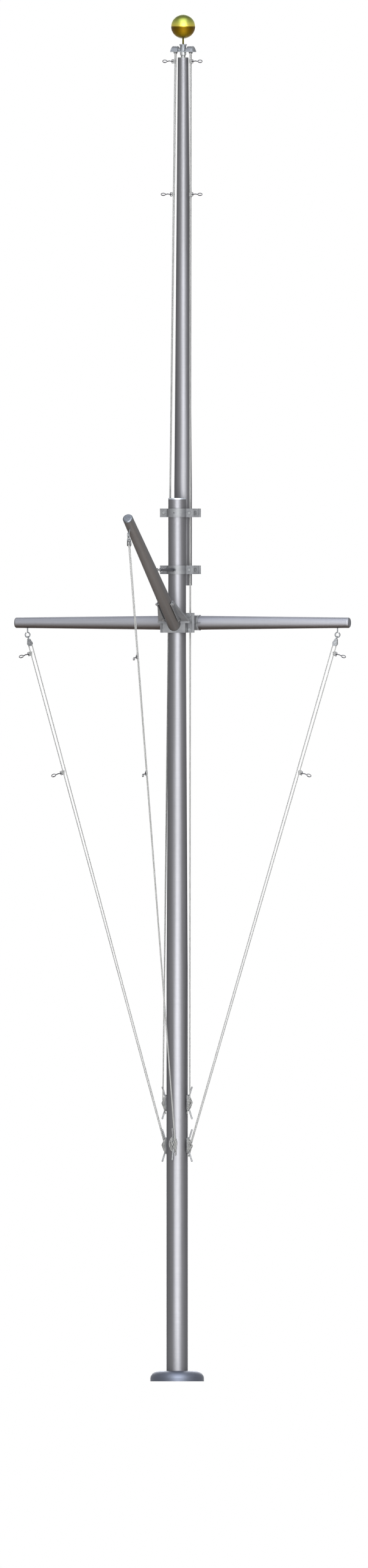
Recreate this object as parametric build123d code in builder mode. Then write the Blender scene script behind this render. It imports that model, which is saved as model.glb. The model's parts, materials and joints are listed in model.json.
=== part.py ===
from build123d import *
import os
from math import acos, atan2, cos, hypot, radians, sin

os.makedirs("parts", exist_ok=True)

# A nautical flagpole: a lower mast with a topmast doubled behind its head, a yardarm, a gaff, a truck
# with a ball, and taut halyards made fast on cleats. Millimetres, +Z up. The origin is at ground level
# on the lower mast's axis. The yardarm lies along X, the gaff rises towards -Y, and the topmast and the
# yardarm stand behind the lower mast, towards +Y.

# ---------------------------------------------------------------- driving dimensions
fit_gap = 0.3                # between pieces that seat on or pass through each other

lower_mast_height = 6309.0   # tube, ground level to the head
butt_d = 152.4               # straight part at the foot
butt_straight = 2958.0
head_d = 127.0               # straight part at the head, through every clamp
head_straight = 1043.0
lower_mast_wall = 4.8
foot_plug_thickness = 12.0
cap_thickness = 9.5
cap_rounding = 3.0
spigot_length = 25.0         # how far caps and plugs reach into their tubes

collar_d = 384.0
collar_height = 75.0
collar_shoulder_width = 68.0
collar_shoulder_height = 54.0
collar_wall = 3.0

masts_apart = 6.4            # clear distance between the two tubes in the doubling
doubling_overlap = 610.0
topmast_length = 3768.0
topmast_straight = 699.0
topmast_d = 127.0
topmast_head_d = 76.2
topmast_wall = 4.0
topmast_plug_thickness = 6.0

strap_thickness = 8.0        # straps, ears and flanges of all clamps
split_gap = 0.3              # half the gap at each joint between clamp halves
band_height = 62.0
upper_band_drop = 96.5       # masthead down to the middle of the upper bracket
lower_band_rise = 106.0      # topmast foot up to the middle of the lower bracket
front_ear_reach = 127.0
saddle_ear_reach = 116.0
rear_ear_reach = 131.0
saddle_waist = 84.0
ear_bolt_reach = 97.0
crown_hole_d = 9.0
crown_boss_d = 30.0
crown_boss_height = 4.0
crown_boss_root = 1.0        # how far inside the strap's bore skin the boss starts

bolt_d = 12.0
hex_flats = 19.0
bolt_head_height = 7.5
nut_height = 10.0
bolt_tail = 3.0

yard_drop = 882.6            # masthead down to the yardarm's axis
yard_length = 2492.0         # tube, without its end caps
yard_d = 100.6
yard_tip_d = 75.3
yard_straight = 300.0
yard_wall = 3.2
end_cap_height = 16.0
end_cap_rounding = 12.0
sleeve_wall = 5.2
sleeve_length = 264.0
sleeve_clearance = 1.5       # from the lower mast's seat to the yardarm's sleeve
clamp_height = 142.0
clamp_front_reach = 112.0
clamp_rear_reach = 128.0
clamp_bolt_reach = 97.0
clamp_bolt_inset = 23.0      # from the clamp's top and bottom edges
clamp_rib_reach = 112.0
clamp_rib_thickness = 6.0
web_thickness = 5.0
web_inner_reach = 91.0
web_fin_reach = 152.0

bracket_box_reach = 84.0
bracket_box_height = 83.0
shelf_height = 14.0          # of the shelf from the ears to the foot of the wings
shelf_front_reach = 82.0
wing_foot_reach = 120.0      # half the width of the two wings at their foot
wing_tip_reach = 58.0
wing_foot_station = -27.0    # along the gaff from its root point
wing_tip_station = 227.0
wing_thickness = 6.0
wing_rim_height = 14.0
wing_rim_width = 6.0
lip_thickness = 6.0          # of the lips that hold the gaff's bolts
lip_height = 30.0

gaff_elevation = 35.8        # degrees
gaff_root_reach = 88.0       # a point on the gaff's axis, out from the lower mast's axis
gaff_root_rise = 14.6        # and above the yardarm's axis
gaff_length = 1243.0         # from that point to the end of the tube
gaff_d = 100.6
gaff_tip_d = 74.0
gaff_wall = 3.2
gaff_foot_clearance = 2.0    # from the strap to the gaff's cut foot
gaff_bolt_d = 12.0
gaff_bolt_stations = (31.0, 220.0)
gaff_bolt_drop = 14.0        # from the gaff's axis to its bolts, square to the gaff

brace_tube_d = 24.0
brace_bore_d = 15.0
brace_tube_start = 17.0      # from the bracket's boss to the tube
brace_tube_length = 284.0
brace_rod_d = 14.4
brace_rod_grip = 60.0
brace_nut_flats = 22.0
brace_nut_height = 11.0
fork_width = 26.0
fork_length = 36.0
fork_slot_depth = 28.0
fork_slot_side = 0.5
fork_rounding = 3.0
lug_thickness = 8.0
lug_radius = 13.0
lug_foot = 44.0
lug_pin_out = 27.0           # from the gaff's surface to the pin, along the brace
lug_pin_d = 8.0

eye_ring_d = 44.0
eye_wire_d = 9.5
eye_shank_length = 26.0
eye_inset = 77.0             # from the tube's end to the screw eye
eye_opening = 34.0           # degrees of the ring left open

halyard_d = 8.0
sheave_side_gap = 1.5
block_sheave_d = 34.0
block_sheave_width = 13.0
block_pitch_d = 26.0
block_pin_d = 8.0
pin_running_gap = 0.1
block_width = 37.0
block_length = 58.0
block_head_d = 17.0
block_cheek_thickness = 3.0
block_top_gap = 8.0          # from the middle of the ring's wire to the top of the shell
block_sheave_drop = 41.0     # from the middle of the ring's wire to the sheave's pin
block_loop_wire_d = 5.0
block_loop_width = 21.0
block_head_gap = 5.5         # from the sheave's rim to the solid head of the shell
groove_slope = 0.12          # how much a sheave's groove widens for each millimetre of depth
pin_head_height = 2.5
pin_head_d = 12.0

truck_neck_d = 33.5
truck_neck_height = 12.0
truck_stem_d = 44.0
truck_stem_height = 26.0
truck_stem_chamfer = 5.0
truck_cap_height = 4.0
truck_plug_length = 50.0
truck_bridge_thickness = 8.0
truck_bridge_width = 44.0
truck_rib_width = 26.0
truck_rib_height = 24.0
hub_d = 45.0
hub_height = 56.0
hub_rim_d = 54.0
hub_rim_height = 9.0
hood_out = 57.0              # from the topmast's axis to the middle of each hood
hood_width = 36.0            # across the top
hood_foot_width = 57.0
hood_radius = 42.0
hood_wall = 4.0
truck_axle_rise = 8.0        # above the underside of the truck casting
truck_axle_d = 8.0
truck_sheave_d = 42.0
truck_sheave_width = 18.0
truck_pitch_d = 28.0

ball_d = 172.4
ball_wall = 2.0
ball_rod_d = 13.0
ball_rod_clear = 40.0        # rod that shows between the hub and the ball
ball_rod_root = 22.0
ball_rod_tip = 25.0

upper_cleat_z = 1992.0
lower_cleat_z = 1687.0
front_cleat_z = 1696.0
cleat_pad_width = 26.0
cleat_pad_length = 118.0
cleat_pad_thickness = 12.0
cleat_horn_d = 11.5
cleat_horn_root = 32.0       # along the mast, from the cleat's middle to the horn's root
cleat_horn_tip = 111.5
cleat_root_out = 9.5         # out from the mast's surface
cleat_tip_out = 35.0
cleat_screw_d = 6.0
cleat_screw_head_d = 11.0
cleat_screw_head_height = 1.2
cleat_screw_spacing = 36.0
cleat_screw_length = 24.0
hitch_width = 63.0
hitch_length = 117.0
hitch_inner_out = 13.5
hitch_outer_out = 36.5
hitch_rounding = 9.0

landing_out = 25.0           # halyards reach the hitch this far out from the mast's surface
landing_up = 25.0            # and this far above the cleat's middle
landing_spread = 8.0         # between the two falls there
landing_aside = 18.0         # beside the cleat's horns

snap_eye_length = 30.0
snap_eye_wire_d = 4.0
snap_eye_reach = 24.0        # rope's axis to the outer face of the eye
snap_swivel_thickness = 6.0
snap_swivel_d = 13.0
snap_shank_d = 7.0
snap_head_d = 9.5
snap_head_height = 4.0
snap_loop_start = 53.0
snap_loop_end = 94.0
snap_loop_width = 21.0
snap_loop_wire_d = 5.5
snap_eye_rounding = 6.0
knot_wall = 3.0
knot_height = 18.0
knot_slack = 1.2             # room in the seizing beyond the eye's bar
truck_snap_drops = (75.0, 1027.0)     # sheave down to each snap, along the fall
yard_snap_drops = (77.0, 965.0)
gaff_snap_drops = (829.0, 1684.0)

# ---------------------------------------------------------------- derived places
topmast_y = head_d / 2 + masts_apart + topmast_d / 2
topmast_foot_z = lower_mast_height - doubling_overlap
topmast_top_z = topmast_foot_z + topmast_length
band_zs = (lower_mast_height - upper_band_drop, topmast_foot_z + lower_band_rise)
head_seat_r = head_d / 2 + fit_gap
head_strap_r = head_seat_r + strap_thickness
topmast_seat_r = topmast_d / 2 + fit_gap
topmast_strap_r = topmast_seat_r + strap_thickness
ear_y = split_gap + strap_thickness
boss_root_y = -(head_seat_r + crown_boss_root)
crown_boss_depth = strap_thickness - crown_boss_root + crown_boss_height
through_strap = 2 * strap_thickness

yard_z = lower_mast_height - yard_drop
sleeve_r = yard_d / 2 + fit_gap + sleeve_wall
yard_y = head_seat_r + sleeve_r + sleeve_clearance
clamp_bottom_z = yard_z - clamp_height / 2
clamp_top_z = yard_z + clamp_height / 2
clamp_bolt_zs = (clamp_bottom_z + clamp_bolt_inset, clamp_top_z - clamp_bolt_inset)

butt_r = butt_d / 2
cut_size = 2 * (clamp_rear_reach + topmast_y)      # larger than any clamp

up = Vector(0, 0, 1)
gaff_root = Vector(0, -gaff_root_reach, yard_z + gaff_root_rise)
gaff_along = Vector(0, -cos(radians(gaff_elevation)), sin(radians(gaff_elevation)))
gaff_back = Vector(0, sin(radians(gaff_elevation)), cos(radians(gaff_elevation)))
gaff_plane = Plane(origin=gaff_root, x_dir=(1, 0, 0), z_dir=-gaff_back)


def gaff_radius(station):
    """Outer radius of the gaff at a distance along it from its root point."""
    return gaff_d / 2 + (gaff_tip_d - gaff_d) / 2 * station / gaff_length


def yard_radius(station):
    """Outer radius of the yardarm at a distance from its middle."""
    share = (station - yard_straight / 2) / (yard_length / 2 - yard_straight / 2)
    return yard_d / 2 + (yard_tip_d - yard_d) / 2 * max(share, 0)


def save(name, part):
    """Label a finished piece and write it as its own STEP file."""
    part.label = name
    export_step(part, f"parts/{name}.step")


def turned(plane, outline):
    """A round piece: (radius, height) points turned about the plane's Y axis."""
    with BuildPart() as piece:
        with BuildSketch(plane):
            with BuildLine():
                Polyline(*outline, close=True)
            make_face()
        revolve(axis=Axis(plane.origin, plane.y_dir))
    return piece.part


def axis_plane(origin, along):
    """A plane for turned(), with its Y axis along the given direction."""
    along = Vector(along).normalized()
    side = Vector(1, 0, 0) if abs(along.X) < 0.5 else Vector(0, 0, 1)
    side = (side - along * side.dot(along)).normalized()
    return Plane(origin=origin, x_dir=side, z_dir=side.cross(along))


def hex_bolt(plane, grip, shank_d=bolt_d):
    """A bolt and its nut. The head seats on the plane, and the nut lies the grip below it."""
    with BuildPart() as bolt:
        with BuildSketch(plane):
            RegularPolygon(hex_flats / 2, 6, major_radius=False)
        extrude(amount=bolt_head_height)
        with BuildSketch(plane):
            Circle(shank_d / 2)
        extrude(amount=-(grip + nut_height + bolt_tail))
        with BuildSketch(plane.offset(-grip)):
            RegularPolygon(hex_flats / 2, 6, major_radius=False)
        extrude(amount=-nut_height)
    return bolt.part


# ---------------------------------------------------------------- masts and foot
cleat_sites = [
    (Vector(1, 0, 0), upper_cleat_z),
    (Vector(-1, 0, 0), upper_cleat_z),
    (Vector(1, 0, 0), lower_cleat_z),
    (Vector(-1, 0, 0), lower_cleat_z),
    (Vector(0, -1, 0), front_cleat_z),
]
cleat_planes = [
    Plane(origin=(0, 0, z), x_dir=up.cross(out), z_dir=out) for out, z in cleat_sites
]

with BuildPart() as lower_mast:
    with BuildSketch(Plane.XZ):
        with BuildLine():
            outer = [
                (butt_r, 0),
                (butt_r, butt_straight),
                (head_d / 2, lower_mast_height - head_straight),
                (head_d / 2, lower_mast_height),
            ]
            Polyline(*outer, *[(r - lower_mast_wall, z) for r, z in reversed(outer)], close=True)
        make_face()
    revolve(axis=Axis.Z)
    for plane in cleat_planes:
        with Locations(plane.offset(butt_r)):
            with GridLocations(1, cleat_screw_spacing, 1, 2):
                Hole(cleat_screw_d / 2 + fit_gap, depth=2 * lower_mast_wall)
save("lower_mast", lower_mast.part)

with BuildPart() as mast_foot_plug:
    with BuildSketch(Plane.XY):
        Circle(butt_r - lower_mast_wall - fit_gap)
    extrude(amount=foot_plug_thickness)
save("mast_foot_plug", mast_foot_plug.part)

with BuildPart() as flash_collar:
    with BuildSketch(Plane.XZ):
        with BuildLine():
            collar_r = collar_d / 2
            neck_r = butt_r + fit_gap
            flat_r = collar_r - collar_shoulder_width
            shoulder_z = collar_height - collar_shoulder_height
            shoulder = (collar_shoulder_width, collar_shoulder_height)
            inner_shoulder = (collar_shoulder_width - collar_wall, collar_shoulder_height - collar_wall)
            Polyline(
                (neck_r, collar_height - collar_wall),
                (neck_r, collar_height),
                (flat_r, collar_height),
            )
            EllipticalCenterArc((flat_r, shoulder_z), *shoulder, start_angle=0, arc_size=90)
            Polyline(
                (collar_r, shoulder_z),
                (collar_r, 0),
                (collar_r - collar_wall, 0),
                (collar_r - collar_wall, shoulder_z),
            )
            EllipticalCenterArc((flat_r, shoulder_z), *inner_shoulder, start_angle=0, arc_size=90)
            Line((flat_r, collar_height - collar_wall), (neck_r, collar_height - collar_wall))
        make_face()
    revolve(axis=Axis.Z)
save("flash_collar", flash_collar.part)

with BuildPart() as lower_mast_cap:
    with BuildSketch(Plane.XY.offset(lower_mast_height)):
        Circle(head_d / 2)
    extrude(amount=cap_thickness)
    fillet(lower_mast_cap.edges().sort_by(Axis.Z)[-1], cap_rounding)
    with BuildSketch(Plane.XY.offset(lower_mast_height)):
        Circle(head_d / 2 - lower_mast_wall - fit_gap)
    extrude(amount=-spigot_length)
save("lower_mast_cap", lower_mast_cap.part)

topmast_axis = Axis((0, topmast_y, 0), (0, 0, 1))
with BuildPart() as topmast:
    with BuildSketch(Plane(origin=(0, topmast_y, 0), x_dir=(1, 0, 0), z_dir=(0, -1, 0))):
        with BuildLine():
            outer = [
                (topmast_d / 2, topmast_foot_z),
                (topmast_d / 2, topmast_foot_z + topmast_straight),
                (topmast_head_d / 2, topmast_top_z),
            ]
            Polyline(*outer, *[(r - topmast_wall, z) for r, z in reversed(outer)], close=True)
        make_face()
    revolve(axis=topmast_axis)
save("topmast", topmast.part)

with BuildPart() as topmast_foot_plug:
    with BuildSketch(Plane((0, topmast_y, topmast_foot_z))):
        Circle(topmast_d / 2 - topmast_wall - fit_gap)
    extrude(amount=spigot_length)
    with BuildSketch(Plane((0, topmast_y, topmast_foot_z))):
        Circle(topmast_d / 2)
    extrude(amount=-topmast_plug_thickness)
    fillet(topmast_foot_plug.edges().sort_by(Axis.Z)[0], cap_rounding)
save("topmast_foot_plug", topmast_foot_plug.part)

# ---------------------------------------------------------------- doubling brackets
with BuildPart() as doubling_straps_front:
    for z in band_zs:
        with BuildSketch(Plane.XY.offset(z - band_height / 2)):
            Circle(head_strap_r)
            with Locations((0, -ear_y / 2)):
                Rectangle(2 * front_ear_reach, ear_y)
            Circle(head_seat_r, mode=Mode.SUBTRACT)
            with Locations((0, cut_size / 2 - split_gap)):
                Rectangle(cut_size, cut_size, mode=Mode.SUBTRACT)
        extrude(amount=band_height)
    with Locations(Plane(origin=(0, boss_root_y, band_zs[1]), x_dir=(1, 0, 0), z_dir=(0, -1, 0))):
        Cylinder(
            crown_boss_d / 2,
            crown_boss_depth,
            align=(Align.CENTER, Align.CENTER, Align.MIN),
        )
    for z in band_zs:
        with Locations(Plane(origin=(0, -head_strap_r, z), x_dir=(1, 0, 0), z_dir=(0, -1, 0))):
            Hole(crown_hole_d / 2, depth=through_strap)
        with Locations(Plane(origin=(0, -ear_y, z), x_dir=(1, 0, 0), z_dir=(0, -1, 0))):
            with GridLocations(2 * ear_bolt_reach, 1, 2, 1):
                Hole(bolt_d / 2 + fit_gap, depth=through_strap)
save("doubling_straps_front", doubling_straps_front.part)

with BuildPart() as doubling_saddles:
    for z in band_zs:
        with BuildSketch(Plane.XY.offset(z - band_height / 2)):
            Circle(head_strap_r)
            with Locations((0, topmast_y)):
                Circle(topmast_strap_r)
            with Locations((0, topmast_y / 2)):
                Rectangle(saddle_waist, topmast_y - 2 * ear_y)
            with Locations((0, ear_y / 2), (0, topmast_y - ear_y / 2)):
                Rectangle(2 * saddle_ear_reach, ear_y)
            Circle(head_seat_r, mode=Mode.SUBTRACT)
            with Locations((0, topmast_y)):
                Circle(topmast_seat_r, mode=Mode.SUBTRACT)
            with Locations((0, topmast_y / 2)):
                Rectangle(cut_size, topmast_y - 2 * split_gap, mode=Mode.INTERSECT)
        extrude(amount=band_height)
    for z in band_zs:
        for y in (ear_y, topmast_y - split_gap):
            with Locations(Plane(origin=(0, y, z), x_dir=(1, 0, 0), z_dir=(0, 1, 0))):
                with GridLocations(2 * ear_bolt_reach, 1, 2, 1):
                    Hole(bolt_d / 2 + fit_gap, depth=through_strap)
save("doubling_saddles", doubling_saddles.part)

with BuildPart() as doubling_straps_rear:
    for z in band_zs:
        with BuildSketch(Plane((0, topmast_y, z - band_height / 2))):
            Circle(topmast_strap_r)
            with Locations((0, ear_y / 2)):
                Rectangle(2 * rear_ear_reach, ear_y)
            Circle(topmast_seat_r, mode=Mode.SUBTRACT)
            with Locations((0, split_gap - cut_size / 2)):
                Rectangle(cut_size, cut_size, mode=Mode.SUBTRACT)
        extrude(amount=band_height)
    for z in band_zs:
        with Locations(Plane(origin=(0, topmast_y + ear_y, z), x_dir=(1, 0, 0), z_dir=(0, 1, 0))):
            with GridLocations(2 * ear_bolt_reach, 1, 2, 1):
                Hole(bolt_d / 2 + fit_gap, depth=through_strap)
save("doubling_straps_rear", doubling_straps_rear.part)

with BuildPart() as doubling_bolts:
    for z in band_zs:
        for side in (-1, 1):
            x = side * ear_bolt_reach
            add(hex_bolt(Plane(origin=(x, -ear_y, z), x_dir=(1, 0, 0), z_dir=(0, -1, 0)), 2 * ear_y))
            rear_face = topmast_y - ear_y
            add(hex_bolt(Plane(origin=(x, rear_face, z), x_dir=(1, 0, 0), z_dir=(0, -1, 0)), 2 * ear_y))
save("doubling_bolts", doubling_bolts.part)

# ---------------------------------------------------------------- yard clamp and gaff bracket
gaff_outline = [
    (0, -gaff_d),
    (gaff_radius(-gaff_d), -gaff_d),
    (gaff_tip_d / 2, gaff_length),
    (0, gaff_length),
]
lip_inner = gaff_d / 2 + fit_gap
lip_outer = lip_inner + lip_thickness
box_top_z = clamp_bottom_z + bracket_box_height
gaff_bolt_centres = [
    gaff_root + gaff_along * station - gaff_back * gaff_bolt_drop for station in gaff_bolt_stations
]
clamp_face = Plane(origin=(0, -ear_y, yard_z), x_dir=(1, 0, 0), z_dir=(0, -1, 0))
clamp_bolt_rows = clamp_height - 2 * clamp_bolt_inset

with BuildPart() as gaff_bracket:
    with BuildSketch(Plane.XY.offset(clamp_bottom_z)):
        Circle(head_strap_r)
        with Locations((0, -ear_y / 2)):
            Rectangle(2 * clamp_front_reach, ear_y)
        with Locations((0, cut_size / 2 - split_gap)):
            Rectangle(cut_size, cut_size, mode=Mode.SUBTRACT)
    extrude(amount=clamp_height)
    with BuildSketch(Plane.XY.offset(clamp_bottom_z)):
        with Locations((0, -(split_gap + head_strap_r) / 2)):
            Rectangle(2 * bracket_box_reach, head_strap_r - split_gap)
    extrude(amount=bracket_box_height)
    with BuildSketch(Plane.XY.offset(clamp_bottom_z)):
        with Locations((0, -head_strap_r / 2 + strap_thickness / 2)):
            Rectangle(2 * (bracket_box_reach - strap_thickness), head_strap_r - strap_thickness)
        Circle(head_strap_r, mode=Mode.SUBTRACT)
        with Locations((0, cut_size / 2 - ear_y)):
            Rectangle(cut_size, cut_size, mode=Mode.SUBTRACT)
    extrude(amount=bracket_box_height - strap_thickness, mode=Mode.SUBTRACT)
    with BuildSketch(Plane.XY.offset(box_top_z - shelf_height)):
        with BuildLine():
            shelf_edge = [
                (clamp_front_reach, -split_gap),
                (wing_foot_reach, gaff_root.Y - gaff_along.Y * abs(wing_foot_station)),
                (wing_foot_reach, -shelf_front_reach),
            ]
            Polyline(*shelf_edge, *[(-x, y) for x, y in reversed(shelf_edge)], close=True)
        make_face()
    extrude(amount=shelf_height)
    for inset, rise in ((0, wing_thickness), (wing_rim_width, wing_rim_height)):
        with BuildSketch(gaff_plane):
            with BuildLine():
                wing_edge = [(wing_foot_reach, wing_foot_station), (wing_tip_reach, wing_tip_station)]
                Polyline(*wing_edge, *[(-x, s) for x, s in reversed(wing_edge)], close=True)
            make_face()
            if inset:
                with BuildLine():
                    inner_edge = [(x - inset, s) for x, s in wing_edge]
                    Polyline(*inner_edge, *[(-x, s) for x, s in reversed(inner_edge)], close=True)
                make_face(mode=Mode.SUBTRACT)
        extrude(amount=-rise)
    for side in (-1, 1):
        lip_plane = Plane(
            origin=(side * (lip_inner + lip_thickness / 2), gaff_root.Y, gaff_root.Z),
            x_dir=gaff_along,
            z_dir=(1, 0, 0),
        )
        with BuildSketch(lip_plane):
            with Locations((sum(gaff_bolt_stations) / 2, gaff_bolt_drop)):
                SlotCenterToCenter(gaff_bolt_stations[1] - gaff_bolt_stations[0], lip_height)
        extrude(amount=lip_thickness / 2, both=True)
    add(turned(gaff_plane, [(r + fit_gap if r else 0, s) for r, s in gaff_outline]), mode=Mode.SUBTRACT)
    with BuildSketch(Plane.XY.offset(clamp_bottom_z)):
        Circle(head_seat_r)
        with Locations((0, cut_size / 2 - split_gap)):
            Rectangle(cut_size, cut_size)
    extrude(amount=2 * clamp_height, mode=Mode.SUBTRACT)
    with Locations(clamp_face):
        with GridLocations(2 * clamp_bolt_reach, clamp_bolt_rows, 2, 2):
            Hole(bolt_d / 2 + fit_gap, depth=through_strap)
    with BuildSketch(Plane.YZ):
        with Locations(*[(centre.Y, centre.Z) for centre in gaff_bolt_centres]):
            Circle(gaff_bolt_d / 2 + fit_gap)
    extrude(amount=wing_foot_reach, both=True, mode=Mode.SUBTRACT)
save("gaff_bracket", gaff_bracket.part)

sleeve_plane = axis_plane((0, yard_y, yard_z), (1, 0, 0))
with BuildPart() as yard_clamp_rear:
    with BuildSketch(Plane.XY.offset(clamp_bottom_z)):
        Circle(head_strap_r)
        with Locations((0, ear_y / 2)):
            Rectangle(2 * clamp_rear_reach, ear_y)
        with Locations((0, split_gap - cut_size / 2)):
            Rectangle(cut_size, cut_size, mode=Mode.SUBTRACT)
    extrude(amount=clamp_height)
    with BuildSketch(Plane.YZ):
        with Locations((yard_y, yard_z)):
            Circle(sleeve_r)
    extrude(amount=sleeve_length / 2, both=True)
    for side in (-1, 1):
        rib_x = side * (clamp_rib_reach + clamp_rib_thickness / 2)
        with BuildSketch(Plane.YZ.offset(rib_x)):
            with Locations(((split_gap + yard_y) / 2, yard_z)):
                Rectangle(yard_y - split_gap, 2 * sleeve_r - 2 * clamp_rib_thickness)
        extrude(amount=clamp_rib_thickness / 2, both=True)
        web_front = yard_y - sleeve_r
        with BuildSketch(Plane.XY.offset(yard_z)):
            with BuildLine():
                Polyline(
                    (side * web_inner_reach, split_gap),
                    (side * clamp_rear_reach, split_gap),
                    (side * web_fin_reach, web_front),
                    (side * web_fin_reach, web_front + sleeve_wall / 2),
                    (side * web_inner_reach, web_front + sleeve_wall / 2),
                    close=True,
                )
            make_face()
        extrude(amount=web_thickness / 2, both=True)
    with BuildSketch(Plane.YZ):
        with Locations((yard_y, yard_z)):
            Circle(yard_d / 2 + fit_gap)
    extrude(amount=cut_size, both=True, mode=Mode.SUBTRACT)
    with BuildSketch(Plane.XY.offset(clamp_bottom_z)):
        Circle(head_seat_r)
        with Locations((0, split_gap - cut_size / 2)):
            Rectangle(cut_size, cut_size)
    extrude(amount=clamp_height, mode=Mode.SUBTRACT)
    with Locations(Plane(origin=(0, ear_y, yard_z), x_dir=(1, 0, 0), z_dir=(0, 1, 0))):
        with GridLocations(2 * clamp_bolt_reach, clamp_bolt_rows, 2, 2):
            Hole(bolt_d / 2 + fit_gap, depth=through_strap)
save("yard_clamp_rear", yard_clamp_rear.part)

with BuildPart() as yard_clamp_bolts:
    for side in (-1, 1):
        for z in clamp_bolt_zs:
            seat = Plane(origin=(side * clamp_bolt_reach, -ear_y, z), x_dir=(1, 0, 0), z_dir=(0, -1, 0))
            add(hex_bolt(seat, 2 * ear_y))
save("yard_clamp_bolts", yard_clamp_bolts.part)

# ---------------------------------------------------------------- yardarm and gaff
eye_reach = yard_length / 2 - eye_inset
eye_hole_r = eye_wire_d / 2 + fit_gap

with BuildPart() as yardarm:
    with BuildSketch(sleeve_plane):
        with BuildLine():
            outer = [
                (yard_tip_d / 2, -yard_length / 2),
                (yard_d / 2, -yard_straight / 2),
                (yard_d / 2, yard_straight / 2),
                (yard_tip_d / 2, yard_length / 2),
            ]
            Polyline(*outer, *[(r - yard_wall, s) for r, s in reversed(outer)], close=True)
        make_face()
    revolve(axis=Axis(sleeve_plane.origin, sleeve_plane.y_dir))
    for side in (-1, 1):
        with BuildSketch(Plane((side * eye_reach, yard_y, yard_z))):
            Circle(eye_hole_r)
        extrude(amount=-yard_d, mode=Mode.SUBTRACT)
save("yardarm", yardarm.part)


def end_cap(plane, tube_d, wall):
    """A flat plug with a round edge for a tube's end. The plane's Y axis points out of the tube."""
    spigot_r = tube_d / 2 - wall - fit_gap
    outline = [
        (0, -spigot_length),
        (spigot_r, -spigot_length),
        (spigot_r, 0),
        (tube_d / 2, 0),
        (tube_d / 2, end_cap_height),
        (0, end_cap_height),
    ]
    with BuildPart() as cap:
        add(turned(plane, outline))
        end_edge = cap.edges().filter_by(GeomType.CIRCLE).sort_by(Axis(plane.origin, plane.y_dir))[-1]
        fillet(end_edge, end_cap_rounding)
    return cap.part


with BuildPart() as yard_end_caps:
    for side in (-1, 1):
        end = Vector(side * yard_length / 2, yard_y, yard_z)
        add(end_cap(axis_plane(end, (side, 0, 0)), yard_tip_d, yard_wall))
save("yard_end_caps", yard_end_caps.part)

gaff_eye_station = gaff_length - eye_inset
gaff_eye_seat = gaff_root + gaff_along * gaff_eye_station
brace_z = band_zs[1]
lug_station = (brace_z - gaff_root.Z - gaff_back.Z * gaff_d / 2) / gaff_along.Z
lug_station = (brace_z - gaff_root.Z - gaff_back.Z * gaff_radius(lug_station)) / gaff_along.Z
lug_seat = gaff_root + gaff_along * lug_station + gaff_back * gaff_radius(lug_station)
lug_pin = Vector(0, lug_seat.Y + lug_pin_out, brace_z)

gaff_body = turned(gaff_plane, gaff_outline)

with BuildPart() as gaff:
    add(gaff_body)
    with BuildSketch(gaff_plane):
        with BuildLine():
            Polyline(
                (0, -2 * gaff_d),
                (gaff_radius(-2 * gaff_d) - gaff_wall, -2 * gaff_d),
                (gaff_radius(gaff_length) - gaff_wall, gaff_length),
                (0, gaff_length),
                close=True,
            )
        make_face()
    revolve(axis=Axis(gaff_root, gaff_along), mode=Mode.SUBTRACT)
    foot_y = -(head_strap_r + gaff_foot_clearance)
    with Locations((0, foot_y + gaff_d, gaff_root.Z)):
        Box(2 * gaff_d, 2 * gaff_d, 4 * gaff_d, mode=Mode.SUBTRACT)
    with BuildSketch(Plane.YZ):
        with Locations(*[(centre.Y, centre.Z) for centre in gaff_bolt_centres]):
            Circle(gaff_bolt_d / 2 + fit_gap)
    extrude(amount=gaff_d, both=True, mode=Mode.SUBTRACT)
    with BuildSketch(Plane(origin=gaff_eye_seat, x_dir=(1, 0, 0), z_dir=-gaff_back)):
        Circle(eye_hole_r)
    extrude(amount=gaff_d, mode=Mode.SUBTRACT)
save("gaff", gaff.part)

gaff_end = end_cap(axis_plane(gaff_root + gaff_along * gaff_length, gaff_along), gaff_tip_d, gaff_wall)
save("gaff_end_cap", gaff_end)

with BuildPart() as gaff_bolts:
    for centre in gaff_bolt_centres:
        seat = Plane(origin=(lip_outer, centre.Y, centre.Z), x_dir=(0, 1, 0), z_dir=(1, 0, 0))
        add(hex_bolt(seat, 2 * lip_outer, gaff_bolt_d))
save("gaff_bolts", gaff_bolts.part)

# ---------------------------------------------------------------- gaff brace
boss_y = -(head_strap_r + crown_boss_height)
tube_start_y = boss_y - brace_tube_start
tube_end_y = tube_start_y - brace_tube_length
brace_plane = Plane(origin=(0, 0, brace_z), x_dir=(1, 0, 0), z_dir=(0, -1, 0))

with BuildPart() as gaff_brace_tube:
    with BuildSketch(brace_plane.offset(-tube_start_y)):
        Circle(brace_tube_d / 2)
        Circle(brace_bore_d / 2, mode=Mode.SUBTRACT)
    extrude(amount=brace_tube_length)
save("gaff_brace_tube", gaff_brace_tube.part)

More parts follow.
